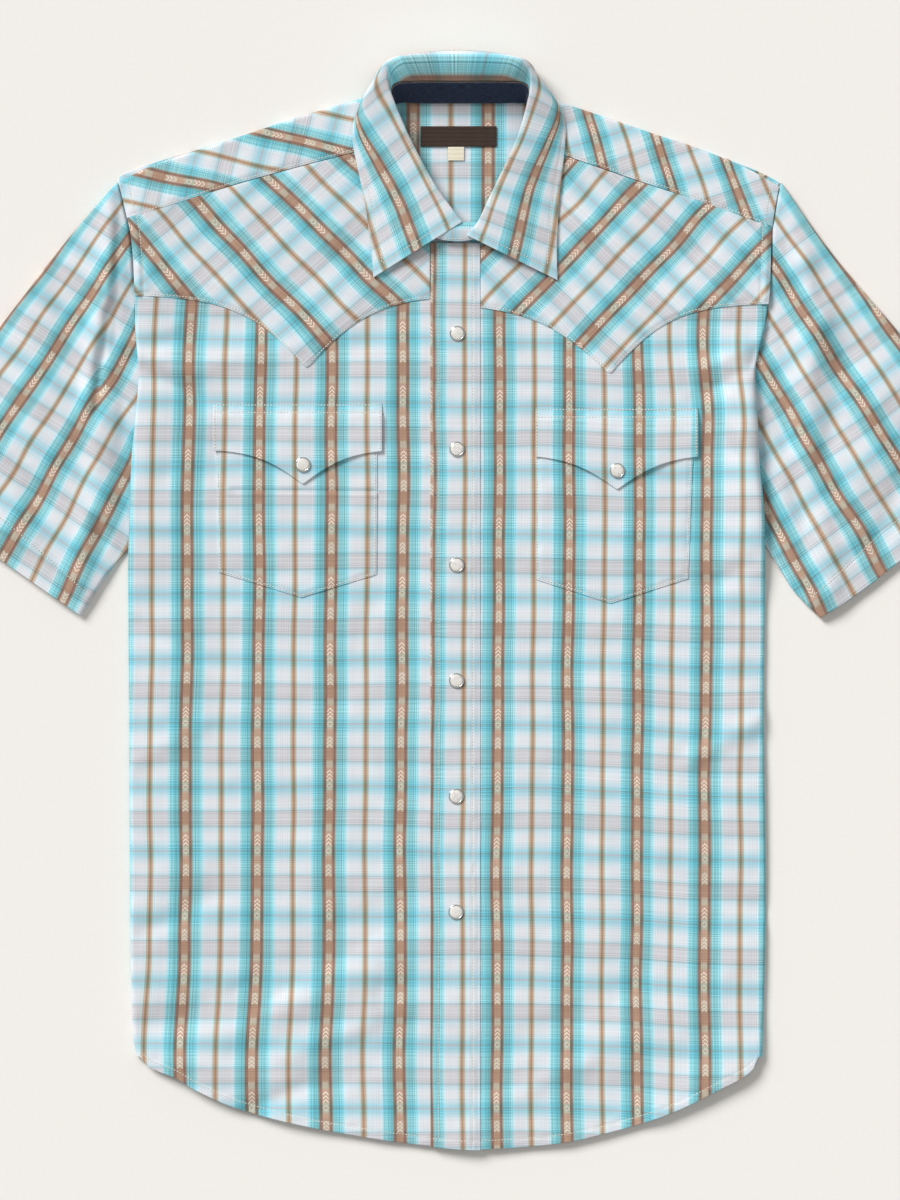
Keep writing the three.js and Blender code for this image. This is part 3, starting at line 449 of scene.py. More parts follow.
# Pearlescent polyester resin, turned and tumbled: glossy, with cloudy swirls inside
def pearlResin(name):
    material, tree, shader = newMaterial(name, {
        "Roughness": 0.22, "Coat Weight": 0.6, "Coat Roughness": 0.08, "Subsurface Weight": 0.08,
        "Subsurface Radius": (0.002, 0.002, 0.002), "Subsurface Scale": 0.5,
    })
    place = addNode(tree, "TexCoord")
    cloud = addNode(tree, "TexNoise", None, {
        "Vector": place.outputs["Object"], "Scale": 320.0, "Detail": 3.0, "Distortion": 1.6,
    })
    colour = addNode(tree, "ValToRGB", {"stops": [
        (0.25, "#C9C8C4", 1), (0.45, "#DEDCD6", 1), (0.6, "#ECE9E2", 1), (0.8, "#D6D8DA", 1),
    ]}, {0: cloud})
    tree.links.new(colour.outputs[0], shader.inputs["Base Color"])
    return material


# Seamless backdrop paper: matt, with a very faint tooth
def backdropPaper(name):
    material, tree, shader = newMaterial(name, {"Roughness": 0.95, "Specular IOR Level": 0.2})
    place = addNode(tree, "TexCoord")
    tooth = addNode(tree, "TexNoise", None, {
        "Vector": place.outputs["Object"], "Scale": 400.0, "Detail": 2.0,
    })
    colour = addNode(tree, "ValToRGB", {"stops": [(0.3, "#F0EDE8", 1), (0.7, "#F2EFEB", 1)]}, {0: tooth})
    tree.links.new(colour.outputs[0], shader.inputs["Base Color"])
    return material


cottonPlaid = plaidCotton("cottonPlaid")
navyChambray = chambray("navyChambray")
labelTaffeta = wovenTape("labelTaffeta", "#32231A", "#3D2B20", 0.62)
tabTape = wovenTape("tabTape", "#E3DAC2", "#EEE6D2", 0.8)
whiteThread = sewingThread("whiteThread", "#F1ECE2")
nickel = nickelPlate("nickelPlate")
pearl = pearlResin("pearlResin")
print("materials ready")

# How the plaid lies on each piece


def between(first, last, repeats, thinAt):  # stripes fan evenly from one wide stripe to another
    def distance(line, x, y):
        fromX, fromY, toX, toY = line
        length = math.hypot(toX - fromX, toY - fromY)
        return ((x - fromX) * (toY - fromY) - (y - fromY) * (toX - fromX)) / length

    fromX, fromY, toX, toY = first
    length = math.hypot(toX - fromX, toY - fromY)
    alongX, alongY = (toX - fromX) / length, (toY - fromY) / length

    def cut(x, y):
        near, far = distance(first, x, y), distance(last, x, y)
        u = near / (near - far) * repeats * plaid["warpRepeat"]
        v = (x - thinAt[0]) * alongX + (y - thinAt[1]) * alongY
        return u + rumple(x, y, 63, 60, 1.8), v + rumple(x, y, 64, 70, 2.0)

    return cut


def pinched(cut):  # a sharp fold takes up cloth, so the stripes step across it
    def stepped(x, y):
        foldX = -262 - (218 - y) * 9 / 72
        within = smoothstep(y, 112, 172) * (1 - smoothstep(y, 182, 230))
        u, v = cut(x, y)
        taken = within * smoothstep(x - foldX, -3.5, 3.5)
        return u - 4 * taken, v + 2 * taken

    return stepped


grain = {
    "frontYokeRight": between(
        (-242.7, 279.7, -196.2, 225.4), (-139.9, 321.3, -43, 225.3), 2, (-146.8, 252.5),
    ),
    "frontYokeLeft": between((48.3, 217.4, 142.5, 316.2), (193.8, 225, 241.3, 276.3), 2, (120, 292)),
    "shoulderRight": between((-234, 326.2, -178.8, 312.6), (-147.8, 357.2, -76.9, 339.7), 1, (-200, 318)),
    "shoulderLeft": between((115.1, 328.3, 101.5, 372.4), (221.4, 295.3, 207.1, 334.4), 2, (108, 350)),
    "sleeveRight": pinched(between(
        (-271.7, 236.4, -343.9, 127.7), (-246.6, 99.6, -294.5, 4.6), 2, (-315, 174),
    )),
    "sleeveLeft": between((294.5, 259.2, 340.1, 194.6), (237.5, 73, 279.3, -6.8), 3, (279.3, 199.9)),
    "backYoke": between((-100, 215, 0, 315), (7.7, 215, 107.7, 315), 1.42, (0, 280)),
}
straightGrain = {  # where a wide stripe and a thin line lie, and how far apart the stripes are here
    "right": {"wideX": -38.4, "apart": 54.4, "thinY": 199.2},
    "left": {"wideX": 36.1, "apart": 53.4, "thinY": 148.2},
    "lining": {"wideX": 27.1, "apart": 57.0, "thinY": 351.0},
    "back": {"wideX": 0.0, "apart": 53.5, "thinY": 150.0},
}


def straightCut(name, x, y):
    lie = straightGrain[name]
    return (x - lie["wideX"]) * plaid["warpRepeat"] / lie["apart"], y - lie["thinY"]


def frontCut(side, x, y):  # the stripes lean towards the hem, flare under the yoke and wander a little
    lean = 2.0 * smoothstep(-y, -115, 230)
    if side == "right":
        flare = -3.5 * smoothstep(y, 130, 235) * smoothstep(-x, 60, 230)
        lean = lean + 4.5 * smoothstep(-x, 0, 200) * smoothstep(-y, 260, 345) - 0.8
        sag = 1.6 * smoothstep(-y, -40, 60) + 1.4 * smoothstep(-y, 150, 300)
    else:
        flare = 4 * smoothstep(y, 130, 235) * smoothstep(x, 60, 230)
        lean = lean + 0.8 * smoothstep(x, 25, 60) + 2.0 * smoothstep(x, 120, 190)
        sag = 0.6 + 1.8 * smoothstep(x, 60, 130) + 4.0 * smoothstep(x, 120, 190) * smoothstep(-y, -40, 90)
    ripple = 1.1 * np.sin(y / 17 + x / 60) * smoothstep(y, 100, 170) * smoothstep(np.abs(x), 120, 200)
    wander = rumple(x, y, 61, 120, 1.2)
    return straightCut(side, x + lean + flare + ripple + wander, y + sag + rumple(x, y, 62, 110, 1.6))


# Cloth pieces


def finishPiece(name, mesh, look):
    for face in mesh.faces:
        face.smooth = True
    data = bpy.data.meshes.new(name)
    mesh.to_mesh(data)
    mesh.free()
    data.materials.append(look)
    piece = bpy.data.objects.new(name, data)
    bpy.context.scene.collection.objects.link(piece)
    return piece


def clothSheet(name, size, shape, look, thickness=0.8, spread=(None, None), closed=False, under=False):
    mesh = bmesh.new()
    bmesh.ops.create_grid(mesh, x_segments=size[0], y_segments=size[1], size=1)
    mesh.verts.ensure_lookup_table()
    grid = np.array([vert.co[:2] for vert in mesh.verts]) / 2 + 0.5
    s, t = [grid[:, k] if spread[k] is None else spread[k](grid[:, k]) for k in (0, 1)]
    x, y, z, u, v = [np.broadcast_to(part, len(grid)) for part in shape(s, t)]
    for vert, co in zip(mesh.verts, np.column_stack([x, y, z]) * mm):
        vert.co = co
    mesh.verts.index_update()
    cut = mesh.loops.layers.uv.new("cut")
    flat = np.column_stack([u, v]) * mm
    for face in mesh.faces:
        for loop in face.loops:
            loop[cut].uv = flat[loop.vert.index]
    bmesh.ops.remove_doubles(mesh, verts=mesh.verts, dist=1e-6)
    if closed:
        bmesh.ops.recalc_face_normals(mesh, faces=mesh.faces)
    else:
        mesh.normal_update()
        upward = sum(face.normal.z * face.calc_area() for face in mesh.faces)
        if (upward < 0) != under:
            bmesh.ops.reverse_faces(mesh, faces=mesh.faces)
    piece = finishPiece(name, mesh, look)
    wall = piece.modifiers.new("wall", "SOLIDIFY")
    wall.thickness = thickness * mm
    wall.offset = 0
    if not closed:
        edge = piece.modifiers.new("edge", "BEVEL")
        edge.width = thickness * 0.3 * mm
        edge.segments = 2
        edge.limit_method = "ANGLE"
        edge.angle_limit = math.radians(60)
    return piece


def declare(piece, node):
    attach(piece, "root")
    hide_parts(node)


thread = {"pitch": 2.4, "length": 2.0, "width": 0.75, "height": 0.4}


def sewOn(name, shape, rows, thickness=0.8, thick=1.0, lift=0.1):  # rows of places on a piece
    mesh = bmesh.new()
    for s, t in rows:
        x, y, z, _, _ = [np.broadcast_to(part, len(s)) for part in shape(s, t)]
        line = np.column_stack([x, y, z + thickness / 2 + lift])
        lengths = np.append(0, np.cumsum(np.linalg.norm(np.diff(line, axis=0), axis=1)))
        middles = np.arange(thread["pitch"] / 2, lengths[-1], thread["pitch"])
        for middle in middles:
            ends = [
                Vector([np.interp(middle + half, lengths, line[:, k]) for k in range(3)])
                for half in (-thread["length"] / 2, thread["length"] / 2)
            ]
            along = ends[1] - ends[0]
            turn = along.to_track_quat("X", "Z").to_matrix().to_4x4()
            scale = Matrix.Diagonal((along.length, thread["width"] * thick, thread["height"] * thick, 1))
            place = Matrix.Translation((ends[0] + ends[1]) / 2)
            bmesh.ops.create_icosphere(
                mesh, subdivisions=1, radius=0.5, matrix=Matrix.Scale(mm, 4) @ place @ turn @ scale,
            )
    piece = finishPiece(name, mesh, whiteThread)
    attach(piece, "root")


def places(low, high, count=160):
    return np.linspace(low, high, count)


def level(value, count=160):
    return np.full(count, float(value))


front = {"centreX": 3, "wrap": 28, "wrapAtArmhole": 6, "flatShare": 0.84, "rollShare": 0.09, "length": 640}


def frontShape(side):
    sign = sides[side]
    inner = front["centreX"] + sign * 0.15
    outer = sideX[side](0) - sign * 2
    half = layers["wall"] / 2
    rolledShare = front["flatShare"] + front["rollShare"]

    def shape(s, t):
        share = np.clip(s / front["flatShare"], 0, 1)
        nominal = lerp(inner, outer, share)
        pastPlacket = smoothstep(np.abs(nominal - front["centreX"]), 14, 26)
        topEdge = lerp(268, yokeEdgeY(side, nominal) + 9, pastPlacket)
        lowX = lerp(inner, sideX[side](-345), share)
        y = lerp(hemY(lowX) + 0.4, topEdge, t)
        edge = sideX[side](y) - sign * half
        top = frontZ(edge - sign * 2.4, y)
        bottom = wrapZ(y)
        radius = (top - bottom) / 2
        turn = edge - sign * radius
        flatX = lerp(inner, turn, share)
        angle = np.clip((s - front["flatShare"]) / front["rollShare"], 0, 1) * math.pi
        tucked = np.clip((s - rolledShare) / (1 - rolledShare), 0, 1)
        length = lerp(front["wrap"], front["wrapAtArmhole"], smoothstep(y, 165, 208)) - radius
        x = np.where(angle > 0, turn + sign * radius * np.sin(angle) - sign * length * tucked, flatX)
        z = np.where(angle > 0, bottom + radius * (1 + np.cos(angle)), frontZ(flatX, y))
        hem = y - hemY(nominal)
        underYoke = yokeEdgeY(side, flatX) - y
        z = z + np.where(angle > 0, 0, hemRelief(hem) + pucker(x, y, hem - 6, 7) + pucker(x, y, underYoke, 9))
        y = np.where(tucked > 0, np.maximum(y, hemY(x) + backHemInset), y)
        u, v = frontCut(side, flatX + sign * (radius * angle + length * tucked), y)
        return x, y, z, u, v

    return shape


for side in sides:
    shape = frontShape(side)
    rowShare, hemReach = 0.06, hemStitch["reach"] / front["length"]
    piece = clothSheet(
        f"front_{side}_cloth", (104, 230), shape, cottonPlaid,
        spread=(None, lambda t: nearEdge(t, rowShare, hemReach)),
    )
    declare(piece, f"front_{side}")
    hemRow = level(hemStitch["row"] / front["length"])
    sewOn(f"front_{side}_hem_stitches", shape, [(places(0.07, 0.83), hemRow)])

placket = {"left": -16.8, "right": 21, "topY": 272, "stitchIn": 6, "length": 680}
placketWidth = placket["right"] - placket["left"]


def placketShape(s, t):
    x = lerp(placket["left"], placket["right"], s)
    y = lerp(hemY(x) - 0.4, placket["topY"], t)
    edge = np.minimum(s, 1 - s) * placketWidth
    row = -0.35 * bell(edge - placket["stitchIn"], 0.9)
    drawnIn = pucker(x, y, edge - placket["stitchIn"], 5, 0.3)
    z = frontZ(x, y) + onFront(edge) + row + hemRelief(y - hemY(x)) + drawnIn
    u, v = frontCut("left", x, y)
    return x, y, z, u, v


placketReach = 9 / placketWidth
placketHem = hemStitch["reach"] / placket["length"]
piece = clothSheet(
    "placket_cloth", (34, 230), placketShape, cottonPlaid,
    spread=(lambda s: nearBoth(s, 0.4, placketReach), lambda t: nearEdge(t, 0.06, placketHem)),
)
declare(piece, "placket")
placketRow = placket["stitchIn"] / placketWidth
sewOn("placket_stitches", placketShape, [
    (level(placketRow, 500), places(0.01, 0.995, 500)),
    (level(1 - placketRow, 500), places(0.01, 0.995, 500)),
    (places(0.04, 0.96), level(hemStitch["row"] / placket["length"])),
])

pockets = {
    "right": {"inX": -57, "outX": -180.5, "bottomInX": -57.5, "bottomOutX": -177.5, "topY": 137,
              "pointX": -116, "pointY": 2.5, "cornerY": 21.8},
    "left": {"inX": 62.5, "outX": 183.5, "bottomInX": 63, "bottomOutX": 179, "topY": 134,
             "pointX": 122, "pointY": -2, "cornerY": 17},
}
flaps = {
    "right": {"inX": -53.5, "outX": -182, "topY": 150, "pointX": -113.5, "pointY": 88.5, "reach": 36},
    "left": {"inX": 62.5, "outX": 186.5, "topY": 146.5, "pointX": 125, "pointY": 84.5, "reach": 38},
}
flapRise = 27
# The dent that the right flap's edge has pressed into its pocket
pocketDents = [
    (-166, 84.2, -60, 83.4, 1.7, -1.3), (-170, 81.2, -60, 80.2, 2.2, 0.7), (-150, 72, -70, 70, 7, 0.6),
]


def pocketShape(side):
    size = pockets[side]

    def shape(s, t):
        nominal = lerp(size["inX"], size["outX"], s)
        reach = np.abs(nominal - size["pointX"]) / abs(size["outX"] - size["pointX"])
        bottom = lerp(size["pointY"], size["cornerY"], np.minimum(1, reach))
        y = lerp(bottom, size["topY"], t)
        x = lerp(lerp(size["bottomInX"], size["bottomOutX"], s), nominal, t)
        edge = np.minimum(np.minimum(s, 1 - s) * 121, y - bottom)
        z = frontZ(x, y) + onFront(edge) + pucker(x, y, edge, 5, 0.3) + creaseHeight(x, y, pocketDents)
        u, v = frontCut(side, x, y)
        return x, y, z, u, v

    return shape


def flapBottom(side, x):
    size = flaps[side]
    return size["pointY"] + flapRise * np.tanh(np.abs(x - size["pointX"]) / size["reach"])


def flapZ(side, x, y, edge):
    size = flaps[side]
    over = 1 - smoothstep(y, pockets[side]["topY"] + 2, size["topY"])
    swoop = bell(np.abs(x - size["pointX"]) - 26, 15)
    lifted = 1.3 * swoop * (1 - smoothstep(edge, 0, 18)) * over
    atTop = -0.3 * (bell(size["topY"] - y - 1.2, 0.8) + bell(size["topY"] - y - 7, 0.9))
    drawnIn = pucker(x, y, size["topY"] - y - 4, 6, 0.3)
    return frontZ(x, y) + layers["sewnStep"] + over * 2.3 + lifted + atTop + drawnIn


def flapShape(side):
    size = flaps[side]

    def shape(s, t):
        x = lerp(size["inX"], size["outX"], s)
        bottom = flapBottom(side, x)
        y = lerp(bottom, size["topY"], t)
        u, v = frontCut(side, x, y)
        return x, y, flapZ(side, x, y, y - bottom), u, v

    return shape


for side in sides:
    shape = pocketShape(side)
    piece = clothSheet(
        f"pocket_{side}_cloth", (64, 120), shape, cottonPlaid,
        spread=(lambda s: nearBoth(s, 0.12, 8 / 123), lambda t: nearEdge(t, 0.09, 8 / 125)),
    )
    declare(piece, f"pocket_{side}")
    inset = 1.6 / 123
    sewOn(f"pocket_{side}_stitches", shape, [
        (level(inset), places(0.02, 0.97)), (level(1 - inset), places(0.02, 0.97)),
        (places(inset, 1 - inset), level(0.014)),
    ])
    shape = flapShape(side)
    piece = clothSheet(
        f"flap_{side}_cloth", (72, 34), shape, cottonPlaid,
        spread=(lambda s: nearBoth(s, 0.08, 5 / 126), lambda t: nearBoth(t, 0.25, 9 / 50)),
    )
    declare(piece, f"flap_{side}")
    size = flaps[side]
    across = places(0.012, 0.988)
    x = lerp(size["inX"], size["outX"], across)
    height = size["topY"] - flapBottom(side, x)
    sewOn(f"flap_{side}_stitches", shape, [
        (across, 1 - 1.2 / height), (across, 1 - 7 / height),
        (level(0.012), places(0.04, 0.98)), (level(0.988), places(0.04, 0.98)),
    ], thick=1.25)
print("fronts ready")

collarRows = [  # seam x, y, top of stand x, y, roll x, y, leaf edge x, y, and 1 at the back
    (-9, 277, 1, 284, 6, 286.5, -60, 245.5, 0),
    (-18, 296, -9, 300, -5, 301.5, -61, 263, 0),
    (-27, 314, -19, 316.5, -15, 316.5, -63.5, 281.5, 0),
    (-35, 332, -29, 334.5, -25, 334.5, -66, 300.5, 0.05),
    (-41, 349, -38.5, 352.5, -35, 354.5, -71, 325, 0.15),
    (-45, 364, -45.5, 369, -43.5, 374, -75.5, 351, 0.32),
    (-45, 376, -47, 383, -49.5, 390, -72, 371, 0.55),
    (-38, 379.5, -44, 391.5, -50.5, 403, -61, 391, 0.8),
    (-25, 379, -30, 393.5, -40, 410, -45, 409, 1),
    (2.5, 379, 2.5, 393.5, 2.5, 412, 2.5, 415.6, 1),
    (35, 379, 38, 393.5, 45, 410, 51, 410, 1),
    (50, 379.5, 55, 392, 58, 403, 64.5, 396, 0.8),
    (57.5, 377, 58.5, 384, 60, 392, 78, 379, 0.55),
    (57, 365, 57.5, 370, 57, 376, 85, 364, 0.32),
    (53, 349, 52.5, 352.5, 50, 352.5, 85, 345, 0.15),
    (46.5, 332, 46, 335, 42.5, 335, 83, 325, 0.05),
    (39, 314, 38, 318, 35, 319, 81, 305, 0),
    (30, 295, 30, 301, 27.5, 303, 79.5, 284, 0),
    (19, 280, 22, 286, 20, 287, 79, 264, 0),
    (9, 273, 15, 277, 12, 276.5, 79.5, 243.5, 0),
]
neckEdges = {
    "right": smoothCurve([(row[0], row[1]) for row in collarRows[5::-1]]),
    "left": smoothCurve([(row[0], row[1]) for row in collarRows[:13:-1]]),
}
throatHalfWidth = 44
armholeRowIn = 7


def yokeShape(side):
    inner = placket["left"] - 0.3 if side == "right" else placket["right"] + 0.3
    cut = grain["frontYokeRight" if side == "right" else "frontYokeLeft"]

    def shape(s, t):
        outer = sideX[side](lerp(yokes[side]["sideY"], forwardSeamY(yokes[side]["outerX"]), t))
        lowX = lerp(inner, sideX[side](yokes[side]["sideY"]), s)
        highX = lerp(inner, yokes[side]["outerX"], s)
        neck = np.where(np.abs(highX - front["centreX"]) < throatHalfWidth, neckEdges[side](highX) - 2, 1000)
        top = np.minimum(forwardSeamY(highX) - 0.4, neck)
        bottom = yokeEdgeY(side, lowX)
        y = lerp(bottom, top, t)
        x = lerp(inner, outer, s)
        edge = y - bottom
        fromArmhole = np.abs(x - sideX[side](y))
        row = 1.1 * bell(fromArmhole - 3.4, 2.2) - 0.4 * bell(fromArmhole - armholeRowIn, 1.1)
        row = row + pucker(x, y, fromArmhole - armholeRowIn, 6, 0.4)
        z = frontZ(x, y) + onFront(edge) + row + pucker(x, y, edge - 2, 6) + pucker(x, y, top - y, 7)
        return (x, y, z, *cut(x, y))

    return shape


for side in sides:
    shape = yokeShape(side)
    piece = clothSheet(
        f"front_yoke_{side}_cloth", (96, 58), shape, cottonPlaid,
        spread=(lambda s: 1 - nearEdge(1 - s, 0.13, 12 / 230), lambda t: nearEdge(t, 0.14, 8 / 110)),
    )
    declare(piece, f"front_yoke_{side}")
    across = places(0.01, 0.985, 300)
    tall = shape(across, level(1, 300))[1] - shape(across, level(0, 300))[1]
    sewOn(f"front_yoke_{side}_stitches", shape, [
        (across, 1.7 / tall), (level(1 - armholeRowIn / 232), places(0.01, 0.99)),
    ])

shoulder = {"neckX": {"right": -47.5, "left": 59}, "endY": 316, "rollShare": 0.25, "stitchIn": 1.6}


def shoulderShape(side):
    sign = sides[side]
    radius = (layers["ridge"] - layers["under"]) / 2
    cut = grain["shoulderRight" if side == "right" else "shoulderLeft"]

    def shape(s, t):
        x = lerp(shoulder["neckX"][side], armholeX[side](shoulder["endY"]) - sign * 0.8, s)
        ridge = ridgeY(x) - radius - layers["wall"] / 2
        seam = forwardSeamY(x)
        flat = np.clip((t - shoulder["rollShare"]) / (1 - shoulder["rollShare"]), 0, 1)
        angle = np.clip(1 - t / shoulder["rollShare"], 0, 1) * math.pi
        rolling = t < shoulder["rollShare"]
        y = np.where(rolling, ridge + radius * np.sin(angle), lerp(ridge, seam, flat))
        x = lerp(shoulder["neckX"][side], armholeX[side](np.minimum(y, shoulder["endY"])) - sign * 0.8, s)
        edge = (1 - flat) * (ridge - seam)
        atSeam = frontZ(x, seam) + layers["fullStep"] + layers["sewnStep"] * 0.2
        soft = (pucker(x, y, edge - 2, 6) + rumple(x, y, 9, 26, 0.5)) * smoothstep(flat, 0, 0.3)
        onTop = lerp(layers["ridge"], atSeam + 0.9 * smoothstep(edge, 0.5, 6), flat ** 1.5) + soft
        z = np.where(rolling, layers["under"] + radius * (1 + np.cos(angle)), onTop)
        return (x, y, z, *cut(x, np.where(rolling, ridge + radius * angle, y)))

    return shape


backYoke = {"seamY": 215, "neckY": 381, "neckMiddle": 5.75, "neckHalf": 53.25}


def backYokeShape(s, t):
    radius = (layers["ridge"] - layers["under"]) / 2

    def across(y):
        return lerp(armholeX["right"](y) + armholeGap, armholeX["left"](y) - armholeGap, s)

    x = across(backYoke["seamY"])
    atNeck = smoothstep(backYoke["neckHalf"] - np.abs(x - backYoke["neckMiddle"]), -0.5, 0.5)
    top = lerp(ridgeY(x) - radius - layers["wall"] / 2, backYoke["neckY"], atNeck)
    y = lerp(backYoke["seamY"], top, t)
    x = across(y)
    return (x, y, level(layers["under"], len(s)), *grain["backYoke"](x, y))


backSheet = clothSheet("back_yoke_cloth", (120, 24), backYokeShape, cottonPlaid, 1.0, under=True)
yokeParts = [(backSheet, (0.5, 0.17), 0.075)]
for side, flat, area in (("right", (0.21, 0.06), 0.0092), ("left", (0.195, 0.06), 0.0085)):
    shape = shoulderShape(side)
    strip = clothSheet(
        f"shoulder_{side}_cloth", (84, 34), shape, cottonPlaid,
        spread=(None, lambda t: 1 - nearEdge(1 - t, 0.2, 0.15)),
    )
    yokeParts.append((strip, flat, area))
    inward = shoulder["stitchIn"] / 40
    sewOn(f"shoulder_{side}_stitches", shape, [
        (places(0.02, 0.98), level(1 - inward)), (level(1 - armholeRowIn / 205), places(0.3, 0.98)),
    ])
for piece, flat, area in yokeParts:
    declare(piece, "back_yoke")

sleeves = {
    "right": {
        "over": [(-254.6, 318), (-288.5, 279.5), (-344, 208), (-431.5, 94)],
        "under": [(-208, 87), (-247, 38), (-262, 20), (-282, -11.5)],
        "hem": [(-431.5, 94), (-344, 32), (-282, -11.5)],
    },
    "left": {
        "over": [(249.6, 318), (284.5, 269), (340, 203), (431.5, 96.5)],
        "under": [(203, 87), (238, 41), (259.5, 7), (279, -13)],
        "hem": [(431.5, 96.5), (340, 30.5), (303.5, 2.8), (279, -13)],
    },
}
sleeveForm = {
    "floorZ": 0.5, "capTopY": 318, "capBottomY": 87, "layerShare": 0.44, "hemRow": 24, "length": 185,
}


def alongLine(points):
    spots = np.array(points, float)
    lengths = np.append(0, np.cumsum(np.hypot(*np.diff(spots, axis=0).T)))
    lineX = smoothCurve(list(zip(lengths, spots[:, 0])))
    lineY = smoothCurve(list(zip(lengths, spots[:, 1])))
    return lambda share: np.array([lineX(share * lengths[-1]), lineY(share * lengths[-1])])


def sleeveZ(side, x, y):
    outside = sides[side] * (x - sideX[side](y))
    besideYoke = 3.6 * smoothstep(y, 222, 262) * (1 - smoothstep(outside, 0, 40))
    relief = restingOn(0.3, 3.0 + creaseHeight(x, y, creases) + 1.3 * clothNoise(x, y))
    return 1.9 + besideYoke * smoothstep(outside, -1.5, 3) + relief * smoothstep(outside, 1.5, 18)


def sleeveShape(side):
    lines = {name: alongLine(points) for name, points in sleeves[side].items()}
    cut = grain["sleeveRight" if side == "right" else "sleeveLeft"]
    floorZ = sleeveForm["floorZ"]
    layerShare = sleeveForm["layerShare"]
    rollShare = 0.5 - layerShare

    def capLine(c):
        y = lerp(sleeveForm["capTopY"], sleeveForm["capBottomY"], c)
        tuckedIn = 0.9 * smoothstep(y, 215, 235) * smoothstep(c, 0, 0.06)
        return np.array([armholeX[side](y) - sides[side] * tuckedIn, y])

    corners = [
        point[:, None] for point in (capLine(0.0), lines["over"](1.0), capLine(1.0), lines["under"](1.0))
    ]

    def onCloth(a, c):
        sidesBetween = lerp(lines["over"](a), lines["under"](a), c)
        endsBetween = lerp(capLine(c), lines["hem"](c), a)
        atCorners = lerp(lerp(corners[0], corners[1], a), lerp(corners[2], corners[3], a), c)
        return sidesBetween + endsBetween - atCorners

    def foldAt(a, c, inner):
        point = onCloth(a, c)
        inward = onCloth(a, inner) - point
        inward = inward / np.hypot(*inward)
        radius = (sleeveZ(side, point[0], point[1]) - floorZ) / 2
        return point + inward * (radius + 0.5), inward, radius

    def shape(s, t):
        a = t
        zero, one = np.zeros(len(s)), np.ones(len(s))
        overCentre, overIn, overRadius = foldAt(a, zero, zero + 0.04)
        underCentre, underIn, underRadius = foldAt(a, one, one - 0.04)
        onTop = s > 0.5
        fromTop = np.abs(s - 0.5)
        c = np.clip((fromTop - rollShare / 2) / layerShare, 0, 1)
        overTurn = np.clip(1 - fromTop / (rollShare / 2), 0, 1) * math.pi / 2
        underTurn = np.clip((fromTop - rollShare / 2 - layerShare) / (rollShare / 2), 0, 1) * math.pi / 2
        shift = (overCentre - onCloth(a, zero)) * (1 - c) + (underCentre - onCloth(a, one)) * c
        point = onCloth(a, c) + shift
        point = point - overIn * overRadius * np.sin(overTurn) - underIn * underRadius * np.sin(underTurn)
        upper = sleeveZ(side, point[0], point[1])
        upper = lerp(upper, floorZ + 2 * overRadius, np.clip(1 - c / 0.05, 0, 1))
        upper = lerp(upper, floorZ + 2 * underRadius, np.clip(1 - (1 - c) / 0.05, 0, 1))
        radius = np.where(c < 0.5, overRadius, underRadius)
        bend = np.maximum(overTurn, underTurn)
        rolled = floorZ + radius * (1 + np.where(onTop, 1, -1) * np.cos(bend))
        fromHem = (1 - a) * sleeveForm["length"]
        fromRow = fromHem - sleeveForm["hemRow"]
        hem = hemRelief(fromHem, sleeveForm["hemRow"]) + pucker(point[0], point[1], fromRow, 7)
        z = np.where(bend > 0, rolled, np.where(onTop, upper + hem, floorZ))
        u, v = cut(point[0], point[1])
        edge = overCentre - overIn * overRadius
        foldU, _ = cut(edge[0], edge[1])
        return point[0], point[1], z, np.where(onTop, u, 2 * foldU - u), v

    return shape


for side in sides:
    shape = sleeveShape(side)
    piece = clothSheet(
        f"sleeve_{side}_cloth", (150, 140), shape, cottonPlaid,
        spread=(None, lambda t: nearBoth(t, 0.1, 0.05)), closed=True,
    )
    declare(piece, f"sleeve_{side}")
    row = 1 - sleeveForm["hemRow"] / sleeveForm["length"]
    sewOn(f"sleeve_{side}_stitches", shape, [(places(0.54, 0.96), level(row))], lift=0.4)
print("sleeves ready")

collar = {
    "seam": (7.2, 3.8), "join": (10.0, 24.0), "inner": (11.6, 29.0), "crest": (13.4, 31.0),  # front, back
    "crestOut": 3.2, "bulge": 1.2, "overYoke": 3.4, "backEdgeZ": 3.2, "backMiddleZ": 20,
    "leafFront": 53, "leafPoint": 20, "leafBack": 42, "insideBack": 10, "insideFront": 6, "around": 400,
}


def throughPoints(points, t):  # a smooth curve through stacked points
    last = len(points) - 1
    place = np.clip(t, 0, 1) * last
    i = np.minimum(place.astype(int), last - 1)
    f = (place - i)[:, None]
    pick = np.arange(len(i))
    get = (lambda k: points[k]) if points.ndim == 2 else (lambda k: points[k, pick])
    p1, p2 = get(i), get(i + 1)
    p0 = np.where((i > 0)[:, None], get(np.maximum(i - 1, 0)), 2 * p1 - p2)
    p3 = np.where((i < last - 1)[:, None], get(np.minimum(i + 2, last)), 2 * p2 - p1)
    square = (2 * p0 - 5 * p1 + 4 * p2 - p3) * f ** 2
    cube = (3 * p1 - p0 - 3 * p2 + p3) * f ** 3
    return 0.5 * (2 * p1 + (p2 - p0) * f + square + cube)


